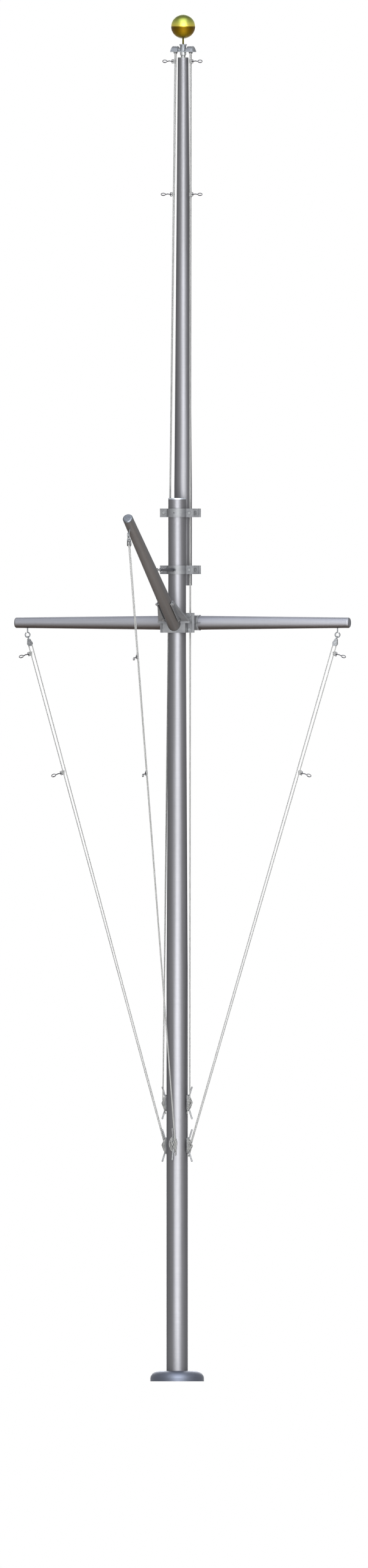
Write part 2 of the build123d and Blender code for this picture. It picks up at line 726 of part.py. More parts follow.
with BuildPart() as gaff_brace_rods:
    with BuildSketch(brace_plane.offset(-boss_y)):
        RegularPolygon(brace_nut_flats / 2, 6, major_radius=False)
    extrude(amount=brace_nut_height)
    with BuildSketch(brace_plane.offset(-boss_y)):
        Circle(brace_rod_d / 2)
    extrude(amount=brace_tube_start + brace_rod_grip)
    with BuildSketch(brace_plane.offset(-boss_y)):
        Circle(crown_hole_d / 2 - fit_gap)
    extrude(amount=-crown_boss_depth)
    fork_start_y = lug_pin.Y + fork_slot_depth - lug_radius / 2
    with BuildSketch(brace_plane.offset(-(tube_end_y + brace_rod_grip))):
        Circle(brace_rod_d / 2)
    extrude(amount=tube_end_y + brace_rod_grip - fork_start_y)
    fork_end_y = lug_pin.Y - lug_radius / 2
    with BuildSketch(brace_plane.offset(-fork_end_y)):
        RectangleRounded(fork_width, fork_width, fork_rounding)
    extrude(amount=-fork_length)
    with BuildSketch(brace_plane.offset(-fork_end_y)):
        Rectangle(lug_thickness + 2 * fork_slot_side, 2 * fork_width)
    extrude(amount=-fork_slot_depth, mode=Mode.SUBTRACT)
    with BuildSketch(Plane.YZ):
        with Locations((lug_pin.Y, lug_pin.Z)):
            Circle(lug_pin_d / 2 + fit_gap)
    extrude(amount=fork_width, both=True, mode=Mode.SUBTRACT)
save("gaff_brace_rods", gaff_brace_rods.part)

with BuildPart() as gaff_brace_lug:
    with BuildSketch(Plane.YZ):
        with Locations((lug_pin.Y, lug_pin.Z)):
            Circle(lug_radius)
        foot_a = lug_seat - gaff_along * lug_foot / 2 - gaff_back * gaff_wall
        foot_b = lug_seat + gaff_along * lug_foot / 2 - gaff_back * gaff_wall
        top_a = lug_pin - gaff_along * lug_radius
        top_b = lug_pin + gaff_along * lug_radius
        with BuildLine():
            Polyline(*[(p.Y, p.Z) for p in (foot_a, foot_b, top_b, top_a)], close=True)
        make_face()
    extrude(amount=lug_thickness / 2, both=True)
    add(gaff_body, mode=Mode.SUBTRACT)
    with BuildSketch(Plane.YZ):
        with Locations((lug_pin.Y, lug_pin.Z)):
            Circle(lug_pin_d / 2 + fit_gap)
    extrude(amount=fork_width, both=True, mode=Mode.SUBTRACT)
save("gaff_brace_lug", gaff_brace_lug.part)

with BuildPart() as gaff_brace_pin:
    with BuildSketch(Plane.YZ.offset(-fork_width / 2 - pin_head_height)):
        with Locations((lug_pin.Y, lug_pin.Z)):
            Circle(lug_pin_d / 2)
    extrude(amount=fork_width + 2 * pin_head_height)
    for start in (fork_width / 2, -fork_width / 2 - pin_head_height):
        with BuildSketch(Plane.YZ.offset(start)):
            with Locations((lug_pin.Y, lug_pin.Z)):
                Circle(pin_head_d / 2)
        extrude(amount=pin_head_height)
save("gaff_brace_pin", gaff_brace_pin.part)

# ---------------------------------------------------------------- screw eyes
ring_r = (eye_ring_d - eye_wire_d) / 2
ring_drop = eye_shank_length + eye_ring_d / 2


def screw_eye(seat, ring_x, down, tube_wall, opening_side):
    """An open ring of wire on a shank. The seat is on the tube's skin, and down points away from it."""
    centre = seat + down * ring_drop
    ring_plane = Plane(origin=centre, x_dir=ring_x, z_dir=ring_x.cross(-down))
    with BuildPart() as eye:
        with BuildLine(ring_plane):
            CenterArc((0, 0), ring_r, 90, opening_side * (360 - eye_opening))
        with BuildSketch(Plane(origin=ring_plane.from_local_coords((0, ring_r)), z_dir=ring_x)):
            Circle(eye_wire_d / 2)
        sweep()
        root = centre - down * ring_r
        with BuildSketch(Plane(origin=root, z_dir=-down)):
            Circle(eye_wire_d / 2)
        extrude(amount=ring_drop - ring_r + 2 * tube_wall)
        with Locations(root):
            Sphere(eye_wire_d / 2)
    return eye.part


eye_seats = [
    (Vector(eye_reach, yard_y, yard_z - yard_radius(eye_reach)), Vector(1, 0, 0), -up, 1),
    (Vector(-eye_reach, yard_y, yard_z - yard_radius(eye_reach)), Vector(1, 0, 0), -up, -1),
    (gaff_eye_seat - gaff_back * gaff_radius(gaff_eye_station), gaff_along, -gaff_back, 1),
]
with BuildPart() as screw_eyes:
    for seat, ring_x, down, opening_side in eye_seats:
        add(screw_eye(seat, ring_x, down, yard_wall, opening_side))
save("screw_eyes", screw_eyes.part)

# ---------------------------------------------------------------- where the halyards run
truck_base_z = topmast_top_z + truck_cap_height + truck_neck_height + truck_stem_height
truck_axle_z = truck_base_z + truck_axle_rise
halyard_r = halyard_d / 2


class Halyard:
    """One halyard: the plane of its two falls, with Y back along them and Z along the sheave's axle."""

    def __init__(self, name, sheave, target, axle, pitch_d, snap_drops, snap_fall, snap_out):
        back = (sheave - target).normalized()
        across = (axle - back * axle.dot(back)).normalized()
        self.name = name
        self.plane = Plane(origin=sheave, x_dir=back.cross(across), z_dir=across)
        self.fall = (sheave - target).length
        self.pitch_r = pitch_d / 2
        self.snap_drops = snap_drops
        self.snap_fall = snap_fall
        self.snap_out = snap_out
        reach = hypot(landing_spread / 2, self.fall)
        self.leave = atan2(-self.fall, landing_spread / 2) + acos(self.pitch_r / reach)

    def fall_point(self, side, drop):
        """A point on the fall at one side of the sheave, so far down from the axle."""
        x = self.pitch_r * cos(self.leave)
        x += (landing_spread / 2 - x) * drop / self.fall
        return self.plane.from_local_coords((side * x, -drop, 0))

    def snap_frames(self):
        """A plane at each snap, with X out along the snap and Y up the rope."""
        up_rope = self.plane.y_dir
        out = (self.snap_out - up_rope * self.snap_out.dot(up_rope)).normalized()
        for drop in self.snap_drops:
            origin = self.fall_point(self.snap_fall, drop)
            yield Plane(origin=origin, x_dir=out, z_dir=out.cross(up_rope))


def landing(site, side):
    """The point inside a cleat's hitch where a halyard's falls arrive."""
    place = (side * landing_aside, landing_up, butt_r + landing_out)
    return cleat_planes[site].from_local_coords(place)


def truck_halyard(name, side, site, aside):
    """A halyard over one of the truck's sheaves, with its snaps on the fall nearer the lower mast."""
    centre = Vector(side * hood_out, topmast_y, truck_axle_z)
    target = landing(site, aside)
    out = Vector(side, 0, 0)
    return Halyard(name, centre, target, Vector(1, 0, 0), truck_pitch_d, truck_snap_drops, -1, out)


def eye_halyard(name, eye, axle, site, aside, snap_drops, snap_fall, snap_out):
    """A halyard on a block that hangs from a screw eye, with its snaps on the outer fall."""
    ring_centre = eye[0] + eye[2] * ring_drop
    target = landing(site, aside)
    centre = ring_centre + (target - ring_centre).normalized() * (ring_r + block_sheave_drop)
    return Halyard(name, centre, target, axle, block_pitch_d, snap_drops, snap_fall, snap_out)


across_yard = Vector(0, 1, 0)
across_gaff = Vector(1, 0, 0)
halyards = [
    truck_halyard("topmast_halyard_right", 1, 0, -1),
    truck_halyard("topmast_halyard_left", -1, 1, 1),
    eye_halyard(
        "yard_halyard_right", eye_seats[0], across_yard, 2, 1, yard_snap_drops, -1, Vector(1, 0, 0)
    ),
    eye_halyard(
        "yard_halyard_left", eye_seats[1], across_yard, 3, -1, yard_snap_drops, 1, Vector(-1, 0, 0)
    ),
    eye_halyard(
        "gaff_halyard", eye_seats[2], across_gaff, 4, 1, gaff_snap_drops, -1, Vector(0, -1, 0)
    ),
]
truck_halyards = halyards[:2]
block_halyards = halyards[2:]

# ---------------------------------------------------------------- cleats and hitches

def horn_bar(plane, radius):
    """Both horns of a cleat, leaning out from its pad, with round tips."""
    with BuildPart() as horns:
        for end in (-1, 1):
            root = plane.from_local_coords((0, end * cleat_horn_root, butt_r + cleat_root_out))
            tip_y = cleat_horn_tip
            tip = plane.from_local_coords((0, end * tip_y, butt_r + cleat_tip_out))
            with BuildSketch(Plane(origin=root, z_dir=tip - root)):
                Circle(radius)
            extrude(amount=(tip - root).length)
            with Locations(tip):
                Sphere(radius)
    return horns.part


def hitch_lens(plane):
    """The rope turned up on a cleat, as one oval lens."""
    with BuildPart() as lens:
        with BuildSketch(plane.offset(butt_r + hitch_inner_out)):
            Ellipse(hitch_width / 2, hitch_length / 2)
        extrude(amount=hitch_outer_out - hitch_inner_out)
        fillet(lens.edges().sort_by(Axis(plane.origin, plane.z_dir))[-1], hitch_rounding)
    return lens.part


with BuildPart() as mast_cleats:
    for plane in cleat_planes:
        with BuildSketch(plane.offset(butt_r - cleat_pad_width / 4)):
            SlotOverall(cleat_pad_length, cleat_pad_width, rotation=90)
        extrude(amount=cleat_pad_width / 4 + cleat_pad_thickness)
        add(horn_bar(plane, cleat_horn_d / 2))
    with Locations((0, 0, (upper_cleat_z + lower_cleat_z) / 2)):
        Cylinder(butt_r + fit_gap, upper_cleat_z - lower_cleat_z + 3 * cleat_pad_length, mode=Mode.SUBTRACT)
    for plane in cleat_planes:
        with Locations(plane.offset(butt_r + cleat_pad_thickness)):
            with GridLocations(1, cleat_screw_spacing, 1, 2):
                Hole(cleat_screw_d / 2 + fit_gap, depth=2 * cleat_pad_thickness)
save("mast_cleats", mast_cleats.part)

with BuildPart() as cleat_screws:
    for plane in cleat_planes:
        seat = plane.offset(butt_r + cleat_pad_thickness)
        with BuildSketch(seat):
            with GridLocations(1, cleat_screw_spacing, 1, 2):
                Circle(cleat_screw_head_d / 2)
        extrude(amount=cleat_screw_head_height)
        with BuildSketch(seat):
            with GridLocations(1, cleat_screw_spacing, 1, 2):
                Circle(cleat_screw_d / 2)
        extrude(amount=-cleat_screw_length)
save("cleat_screws", cleat_screws.part)

hitch_lenses = [hitch_lens(plane) for plane in cleat_planes]
with BuildPart() as cleat_hitches:
    for lens in hitch_lenses:
        add(lens)
    for plane in cleat_planes:
        add(horn_bar(plane, cleat_horn_d / 2 + fit_gap), mode=Mode.SUBTRACT)
save("cleat_hitches", cleat_hitches.part)

# ---------------------------------------------------------------- halyards
for halyard in halyards:
    with BuildPart() as rope:
        with BuildLine(halyard.plane) as route:
            leave_x = halyard.pitch_r * cos(halyard.leave)
            leave_y = halyard.pitch_r * sin(halyard.leave)
            Line((-landing_spread / 2, -halyard.fall), (-leave_x, leave_y))
            ThreePointArc((-leave_x, leave_y), (0, halyard.pitch_r), (leave_x, leave_y))
            Line((leave_x, leave_y), (landing_spread / 2, -halyard.fall))
        with BuildSketch(Plane(origin=route.line @ 0, z_dir=route.line % 0)):
            Circle(halyard_r)
        sweep()
        for lens in hitch_lenses:
            add(lens, mode=Mode.SUBTRACT)
    save(halyard.name, rope.part)


# ---------------------------------------------------------------- sheaves and blocks
def sheave(centre, axle, diameter, width, pitch_d, bore_r):
    """A grooved wheel on a pin."""
    groove_r = halyard_r + fit_gap
    rim = diameter / 2
    mouth = groove_r + (rim - pitch_d / 2) * groove_slope
    with BuildPart() as wheel:
        plane = axis_plane(centre, axle)
        with BuildSketch(plane):
            with BuildLine():
                Polyline((pitch_d / 2, groove_r), (rim, mouth), (rim, width / 2), (bore_r, width / 2))
                Polyline((bore_r, width / 2), (bore_r, -width / 2), (rim, -width / 2))
                Polyline((rim, -width / 2), (rim, -mouth), (pitch_d / 2, -groove_r))
                ThreePointArc(
                    (pitch_d / 2, -groove_r), (pitch_d / 2 - groove_r, 0), (pitch_d / 2, groove_r)
                )
            make_face()
        revolve(axis=Axis(plane.origin, plane.y_dir))
    return wheel.part


for halyard, side in zip(truck_halyards, ("right", "left")):
    wheel = sheave(
        halyard.plane.origin,
        Vector(1, 0, 0),
        truck_sheave_d,
        truck_sheave_width,
        truck_pitch_d,
        truck_axle_d / 2 + pin_running_gap,
    )
    save(f"truck_sheave_{side}", wheel)

for halyard, place in zip(block_halyards, ("yard_right", "yard_left", "gaff")):
    wheel = sheave(
        halyard.plane.origin,
        halyard.plane.z_dir,
        block_sheave_d,
        block_sheave_width,
        block_pitch_d,
        block_pin_d / 2 + pin_running_gap,
    )
    save(f"{place}_block_sheave", wheel)

cheek_in = block_sheave_width / 2 + sheave_side_gap
cheek_out = cheek_in + block_cheek_thickness
block_top = block_sheave_drop - block_top_gap
block_belly = block_top - block_length + block_width / 2
head_start = block_sheave_d / 2 + block_head_gap


def block_shell(plane):
    """Two teardrop cheeks joined by a solid head, with a wire loop that rides in the ring."""
    with BuildPart() as shell:
        with BuildSketch(plane):
            with Locations((0, block_belly)):
                Circle(block_width / 2)
            with Locations((0, block_top - block_head_d / 2)):
                Circle(block_head_d / 2)
            make_hull()
        extrude(amount=cheek_out, both=True)
        with BuildSketch(plane):
            with Locations((0, head_start - block_length)):
                Rectangle(2 * block_width, 2 * block_length)
        extrude(amount=cheek_in, both=True, mode=Mode.SUBTRACT)
        loop_r = (block_loop_width - block_loop_wire_d) / 2
        loop_top = block_sheave_drop + eye_wire_d / 2 + block_loop_wire_d / 2 + fit_gap
        loop_plane = Plane(origin=plane.origin, x_dir=plane.z_dir, z_dir=plane.z_dir.cross(plane.y_dir))
        foot = block_top - block_loop_wire_d
        with BuildLine(loop_plane) as bail:
            Line((-loop_r, foot), (-loop_r, loop_top - loop_r))
            ThreePointArc((-loop_r, loop_top - loop_r), (0, loop_top), (loop_r, loop_top - loop_r))
            Line((loop_r, loop_top - loop_r), (loop_r, foot))
        with BuildSketch(Plane(origin=bail.line @ 0, z_dir=bail.line % 0)):
            Circle(block_loop_wire_d / 2)
        sweep(path=bail.line)
        with BuildSketch(plane):
            Circle(block_pin_d / 2 + fit_gap)
        extrude(amount=cheek_out, both=True, mode=Mode.SUBTRACT)
    return shell.part


def headed_pin(centre, axle, diameter, low, high):
    """A round pin with a head outside each end."""
    outline = [
        (0, low - pin_head_height),
        (pin_head_d / 2, low - pin_head_height),
        (pin_head_d / 2, low),
        (diameter / 2, low),
        (diameter / 2, high),
        (pin_head_d / 2, high),
        (pin_head_d / 2, high + pin_head_height),
        (0, high + pin_head_height),
    ]
    return turned(axis_plane(centre, axle), outline)


with BuildPart() as block_shells:
    for halyard in block_halyards:
        add(block_shell(halyard.plane))
save("block_shells", block_shells.part)

with BuildPart() as block_pins:
    for halyard in block_halyards:
        add(headed_pin(halyard.plane.origin, halyard.plane.z_dir, block_pin_d, -cheek_out, cheek_out))
save("block_pins", block_pins.part)

# ---------------------------------------------------------------- truck and ball
topmast_head = Plane(origin=(0, topmast_y, topmast_top_z), x_dir=(1, 0, 0), z_dir=(0, -1, 0))
neck_top = truck_cap_height + truck_neck_height
stem_top = neck_top + truck_stem_height
plug_r = topmast_head_d / 2 - topmast_wall - fit_gap
spindle_outline = [
    (0, -truck_plug_length),
    (plug_r, -truck_plug_length),
    (plug_r, 0),
    (topmast_head_d / 2, 0),
    (topmast_head_d / 2, truck_cap_height - cap_rounding / 2),
    (topmast_head_d / 2 - cap_rounding / 2, truck_cap_height),
    (truck_neck_d / 2, truck_cap_height),
    (truck_neck_d / 2, neck_top),
    (truck_stem_d / 2, neck_top + truck_stem_chamfer),
    (truck_stem_d / 2, stem_top),
    (0, stem_top),
]
save("truck_spindle", turned(topmast_head, spindle_outline))

truck_base = Plane((0, topmast_y, truck_base_z))


def hood(side):
    """The half drum over one sheave, with its two faces sloping in towards the top."""
    with BuildPart() as drum:
        with BuildSketch(Plane.YZ.offset(side * hood_out)):
            with Locations((topmast_y, truck_base_z)):
                Circle(hood_radius)
        extrude(amount=hood_foot_width / 2, both=True)
        middle = (side * hood_out, topmast_y, truck_base_z)
        with BuildSketch(Plane(origin=middle, x_dir=(1, 0, 0), z_dir=(0, -1, 0))):
            with BuildLine():
                slope = [(hood_foot_width / 2, 0), (hood_width / 2, hood_radius)]
                Polyline(*slope, *[(-x, z) for x, z in reversed(slope)], close=True)
            make_face()
        extrude(amount=hood_radius, both=True, mode=Mode.INTERSECT)
    return drum.part


with BuildPart() as truck_body:
    with BuildSketch(truck_base):
        Rectangle(2 * hood_out, truck_bridge_width)
    extrude(amount=truck_bridge_thickness)
    with BuildSketch(truck_base):
        Rectangle(2 * hood_out, truck_rib_width)
    extrude(amount=truck_rib_height)
    with BuildSketch(truck_base):
        Circle(hub_d / 2)
    extrude(amount=hub_height)
    with BuildSketch(truck_base.offset(hub_height - hub_rim_height)):
        Circle(hub_rim_d / 2)
    extrude(amount=hub_rim_height)
    fillet(truck_body.edges().filter_by(GeomType.CIRCLE).sort_by(Axis.Z)[-1], cap_rounding)
    for side in (-1, 1):
        add(hood(side))
        with BuildSketch(Plane.YZ.offset(side * hood_out)):
            with Locations((topmast_y, truck_base_z)):
                Circle(hood_radius - hood_wall)
        extrude(amount=hood_width / 2 - hood_wall, both=True, mode=Mode.SUBTRACT)
        outer_face = Plane(
            origin=(side * (hood_out + hood_width / 2), topmast_y, truck_axle_z),
            x_dir=(0, 1, 0),
            z_dir=(side, 0, 0),
        )
        with BuildSketch(outer_face):
            Circle(pin_head_d / 2 + fit_gap)
        extrude(amount=hood_foot_width, mode=Mode.SUBTRACT)
        with BuildSketch(outer_face):
            Circle(truck_axle_d / 2 + fit_gap)
        extrude(amount=-hood_width, mode=Mode.SUBTRACT)
    with BuildSketch(truck_base.offset(hub_height)):
        Circle(ball_rod_d / 2 + fit_gap)
    extrude(amount=-(ball_rod_root + fit_gap), mode=Mode.SUBTRACT)
save("truck_body", truck_body.part)

with BuildPart() as truck_axles:
    for side in (-1, 1):
        centre = Vector(side * hood_out, topmast_y, truck_axle_z)
        outline = [
            (0, fit_gap - hood_width / 2),
            (truck_axle_d / 2, fit_gap - hood_width / 2),
            (truck_axle_d / 2, hood_width / 2),
            (pin_head_d / 2, hood_width / 2),
            (pin_head_d / 2, hood_width / 2 + pin_head_height),
            (0, hood_width / 2 + pin_head_height),
        ]
        add(turned(axis_plane(centre, (side, 0, 0)), outline))
save("truck_axles", truck_axles.part)

hub_top_z = truck_base_z + hub_height
ball_bottom_z = hub_top_z + ball_rod_clear
with BuildPart() as ball_rod:
    with BuildSketch(Plane((0, topmast_y, hub_top_z - ball_rod_root))):
        Circle(ball_rod_d / 2)
    extrude(amount=ball_rod_root + ball_rod_clear + ball_rod_tip)
save("ball_rod", ball_rod.part)

with BuildPart() as ball:
    with Locations((0, topmast_y, ball_bottom_z + ball_d / 2)):
        Sphere(ball_d / 2)
        Sphere(ball_d / 2 - ball_wall, mode=Mode.SUBTRACT)
    with BuildSketch(Plane((0, topmast_y, ball_bottom_z - ball_wall))):
        Circle(ball_rod_d / 2 + fit_gap)
    extrude(amount=ball_d / 2, mode=Mode.SUBTRACT)
save("ball", ball.part)

# ---------------------------------------------------------------- snaps
bar_x = halyard_r + fit_gap + snap_eye_wire_d / 2
swivel_x = snap_eye_reach - snap_swivel_thickness
loop_r = (snap_loop_width - snap_loop_wire_d) / 2
loop_low = snap_loop_start + snap_loop_wire_d / 2 + loop_r
loop_high = snap_loop_end - snap_loop_wire_d / 2 - loop_r


def snap_eye(frame):
    """The flat eye of a swivel snap, with the boss that its shank turns in."""
    with BuildPart() as eye:
        low_x = bar_x - snap_eye_wire_d / 2
        middle = (low_x + snap_eye_reach) / 2
        with BuildSketch(frame):
            with Locations((middle, 0)):
                RectangleRounded(snap_eye_reach - low_x, snap_eye_length, snap_eye_rounding)
                RectangleRounded(
                    snap_eye_reach - low_x - 2 * snap_eye_wire_d,
                    snap_eye_length - 2 * snap_eye_wire_d,
                    snap_eye_rounding - snap_eye_wire_d / 2,
                    mode=Mode.SUBTRACT,
                )
        extrude(amount=snap_eye_wire_d / 2, both=True)
        boss = Plane(origin=frame.from_local_coords((swivel_x, 0, 0)), z_dir=frame.x_dir)
        with BuildSketch(boss):
            Circle(snap_swivel_d / 2)
        extrude(amount=snap_swivel_thickness)
        with BuildSketch(boss):
            Circle(snap_shank_d / 2 + pin_running_gap)
        extrude(amount=snap_swivel_thickness, mode=Mode.SUBTRACT)
    return eye.part


def snap_hook(frame):
    """The turning half of a swivel snap: a headed shank and a long closed loop."""
    with BuildPart() as hook:
        head_x = swivel_x - fit_gap - snap_head_height
        base = Plane(origin=frame.from_local_coords((head_x, 0, 0)), z_dir=frame.x_dir)
        with BuildSketch(base):
            Circle(snap_head_d / 2)
        extrude(amount=snap_head_height)
        with BuildSketch(base):
            Circle(snap_shank_d / 2)
        extrude(amount=snap_loop_start + snap_loop_wire_d / 2 - head_x)
        with BuildLine(frame) as outline:
            Line((loop_low, -loop_r), (loop_high, -loop_r))
            ThreePointArc((loop_high, -loop_r), (loop_high + loop_r, 0), (loop_high, loop_r))
            Line((loop_high, loop_r), (loop_low, loop_r))
            ThreePointArc((loop_low, loop_r), (loop_low - loop_r, 0), (loop_low, -loop_r))
        start = frame.from_local_coords((loop_low, -loop_r, 0))
        with BuildSketch(Plane(origin=start, z_dir=frame.x_dir)):
            Circle(snap_loop_wire_d / 2)
        sweep(path=outline.wire())
    return hook.part


def rope_knot(frame):
    """The seizing that holds a snap's eye against its halyard."""
    low_x = -halyard_r - fit_gap
    high_x = bar_x + snap_eye_wire_d / 2 + knot_slack
    inner_width = high_x - low_x
    inner_height = halyard_d + 2 * fit_gap
    with BuildPart() as knot:
        start = frame.from_local_coords(((low_x + high_x) / 2, -knot_height / 2, 0))
        with BuildSketch(Plane(origin=start, x_dir=frame.x_dir, z_dir=frame.y_dir)):
            SlotOverall(inner_width + 2 * knot_wall, inner_height + 2 * knot_wall)
            SlotOverall(inner_width, inner_height, mode=Mode.SUBTRACT)
        extrude(amount=knot_height)
    return knot.part


snap_frames = []
for halyard in halyards:
    place = halyard.name.replace("_halyard", "")
    for level, frame in zip(("upper", "lower"), halyard.snap_frames()):
        snap_frames.append(frame)
        save(f"{place}_{level}_snap_hook", snap_hook(frame))

with BuildPart() as snap_eyes:
    for frame in snap_frames:
        add(snap_eye(frame))
save("snap_eyes", snap_eyes.part)

with BuildPart() as snap_knots:
    for frame in snap_frames:
        add(rope_knot(frame))
save("snap_knots", snap_knots.part)
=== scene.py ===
import json
from math import acos, atan2, cos, hypot, pi, radians, sin

import bmesh
import bpy
import numpy as np
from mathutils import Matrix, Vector


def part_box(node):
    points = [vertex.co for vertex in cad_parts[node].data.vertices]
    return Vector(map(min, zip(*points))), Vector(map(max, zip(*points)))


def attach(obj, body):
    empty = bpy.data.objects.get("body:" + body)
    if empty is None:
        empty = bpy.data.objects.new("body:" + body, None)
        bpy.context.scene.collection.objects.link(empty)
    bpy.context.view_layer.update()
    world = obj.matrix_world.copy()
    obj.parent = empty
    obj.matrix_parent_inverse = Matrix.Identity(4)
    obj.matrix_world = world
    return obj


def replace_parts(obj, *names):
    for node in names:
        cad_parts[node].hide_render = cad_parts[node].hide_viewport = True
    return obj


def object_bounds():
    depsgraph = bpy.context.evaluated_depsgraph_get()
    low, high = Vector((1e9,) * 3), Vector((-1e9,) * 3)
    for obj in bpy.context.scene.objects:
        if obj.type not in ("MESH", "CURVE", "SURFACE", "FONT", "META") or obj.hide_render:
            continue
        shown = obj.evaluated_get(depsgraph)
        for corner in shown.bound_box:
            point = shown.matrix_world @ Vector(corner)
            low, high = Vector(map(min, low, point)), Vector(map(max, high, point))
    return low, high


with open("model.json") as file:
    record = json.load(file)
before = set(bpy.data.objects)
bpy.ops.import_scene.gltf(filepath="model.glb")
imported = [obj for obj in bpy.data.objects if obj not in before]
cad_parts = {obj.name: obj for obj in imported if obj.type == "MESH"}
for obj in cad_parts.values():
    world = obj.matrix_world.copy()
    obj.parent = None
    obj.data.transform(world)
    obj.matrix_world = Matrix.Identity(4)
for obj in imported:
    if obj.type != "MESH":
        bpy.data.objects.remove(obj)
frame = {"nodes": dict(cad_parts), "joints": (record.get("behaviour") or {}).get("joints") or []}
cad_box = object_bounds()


# ---------------------------------------------------------------- lower mast
# A tapered tube of anodised aluminium, spun and then sanded to a satin finish, with a flat cast cap on its
# head and a plug in its foot. The sanding leaves fine rings round the tube, which draw a highlight out
# along it, and handling leaves faint long streaks.
mm = 0.001
nodes = frame["nodes"]


def linear(code):
    """An sRGB hex colour as linear red, green, blue and alpha."""
    parts = [int(code[i:i + 2], 16) / 255 for i in (1, 3, 5)]
    return [c / 12.92 if c <= 0.04045 else ((c + 0.055) / 1.055) ** 2.4 for c in parts] + [1.0]


def add_node(tree, kind, inputs=None, **settings):
    """Adds a node, sets its properties, and fills its inputs with values or links."""
    made = tree.nodes.new(kind)
    for name, value in settings.items():
        setattr(made, name, value)
    for name, value in (inputs or {}).items():
        if isinstance(value, bpy.types.NodeSocket):
            tree.links.new(value, made.inputs[name])
        else:
            made.inputs[name].default_value = value
    return made


def start_material(name):
    """A new empty material, its node tree, and the place of each point in the pole's own frame."""
    material = bpy.data.materials.new(name)
    material.use_nodes = True
    tree = material.node_tree
    tree.nodes.clear()
    return material, tree, add_node(tree, "ShaderNodeTexCoord").outputs["Object"]


def end_material(tree, inputs):
    """The surface shader and the material's output."""
    shader = add_node(tree, "ShaderNodeBsdfPrincipled", inputs)
    add_node(tree, "ShaderNodeOutputMaterial", {"Surface": shader.outputs["BSDF"]})


def dress(material, *names):
    """Gives CAD nodes their finish."""
    for name in names:
        nodes[name].data.materials.clear()
        nodes[name].data.materials.append(material)


def satin_aluminium(name, turn, light, dark):
    """Anodised aluminium sanded round its girth. The turn brings the tube's length onto Z."""
    material, tree, place = start_material(name)
    upright = add_node(
        tree, "ShaderNodeMapping", {"Vector": place, "Rotation": turn}, vector_type="POINT"
    ).outputs["Vector"]
    ring_pitch = 5 * mm          # the real rings are near 0.3 mm apart: this is as coarse as shows
    ring_reach = 140 * mm
    rings = add_node(tree, "ShaderNodeMapping", {
        "Vector": upright, "Scale": (1 / ring_reach, 1 / ring_reach, 1 / ring_pitch),
    })
    sanding = add_node(tree, "ShaderNodeTexNoise", {
        "Vector": rings.outputs["Vector"], "Scale": 1.0, "Detail": 3.0, "Roughness": 0.6,
    }).outputs["Fac"]
    streak_width = 22 * mm
    streak_length = 900 * mm
    streaks = add_node(tree, "ShaderNodeMapping", {
        "Vector": upright, "Scale": (1 / streak_width, 1 / streak_width, 1 / streak_length),
    })
    handling = add_node(tree, "ShaderNodeTexNoise", {
        "Vector": streaks.outputs["Vector"], "Scale": 1.0, "Detail": 2.0, "Roughness": 0.5,
    }).outputs["Fac"]
    colour = add_node(tree, "ShaderNodeValToRGB", {"Fac": handling})
    colour.color_ramp.elements[0].position = 0.36
    colour.color_ramp.elements[0].color = linear(dark)
    colour.color_ramp.elements[1].position = 0.64
    colour.color_ramp.elements[1].color = linear(light)
    gloss = add_node(tree, "ShaderNodeMapRange", {
        "Value": sanding, "From Min": 0.25, "From Max": 0.75, "To Min": 0.50, "To Max": 0.56,
    })
    relief = add_node(tree, "ShaderNodeBump", {"Height": sanding, "Strength": 0.05, "Distance": 0.05 * mm})
    end_material(tree, {
        "Base Color": colour.outputs["Color"],
        "Metallic": 1.0,
        "Specular Tint": linear("#b4b4b6"),
        "Roughness": gloss.outputs["Result"],
        "Normal": relief.outputs["Normal"],
    })
    return material


mast_aluminium = satin_aluminium("satin_anodised_aluminium_mast", (0, 0, 0), "#67676a", "#626264")
dress(mast_aluminium, "lower_mast", "mast_foot_plug", "topmast", "topmast_foot_plug")

# ---------------------------------------------------------------- masthead cap
# A plain aluminium cap driven into the lower mast's head. It is turned on a lathe, and its cut face is
# brighter than the sanded tube under it.
cap_aluminium = satin_aluminium("turned_aluminium_cap", (0, 0, 0), "#a9aeb4", "#9ba0a6")
dress(cap_aluminium, "lower_mast_cap")


# ---------------------------------------------------------------- flash collar
# A collar spun from aluminium sheet, which drops over the mast's foot and covers its sleeve. The spinning
# tool leaves shallow rings, so the shoulder carries one soft band of light.
def spun_aluminium():
    """Aluminium sheet spun on a former: rings about the vertical axis."""
    material, tree, place = start_material("spun_aluminium")
    parts = add_node(tree, "ShaderNodeSeparateXYZ", {"Vector": place})
    flat = add_node(tree, "ShaderNodeCombineXYZ", {"X": parts.outputs["X"], "Y": parts.outputs["Y"]})
    out = add_node(tree, "ShaderNodeVectorMath", {0: flat.outputs["Vector"]}, operation="LENGTH")
    down = add_node(tree, "ShaderNodeMath", {
        0: out.outputs["Value"], 1: parts.outputs["Z"],
    }, operation="SUBTRACT")
    ring_pitch = 4 * mm
    turns = add_node(tree, "ShaderNodeMath", {
        0: down.outputs["Value"], 1: 1 / ring_pitch,
    }, operation="MULTIPLY")
    rings = add_node(tree, "ShaderNodeTexNoise", {
        "W": turns.outputs["Value"], "Scale": 1.0, "Detail": 2.0,
    }, noise_dimensions="1D").outputs["Fac"]
    gloss = add_node(tree, "ShaderNodeMapRange", {
        "Value": rings, "From Min": 0.3, "From Max": 0.7, "To Min": 0.50, "To Max": 0.58,
    })
    colour = add_node(tree, "ShaderNodeValToRGB", {"Fac": rings})
    colour.color_ramp.elements[0].color = linear("#4e525c")
    colour.color_ramp.elements[1].color = linear("#595d67")
    relief = add_node(tree, "ShaderNodeBump", {"Height": rings, "Strength": 0.15, "Distance": 0.1 * mm})
    end_material(tree, {
        "Base Color": colour.outputs["Color"],
        "Metallic": 1.0,
        "Roughness": gloss.outputs["Result"],
        "Normal": relief.outputs["Normal"],
    })
    return material


dress(spun_aluminium(), "flash_collar")


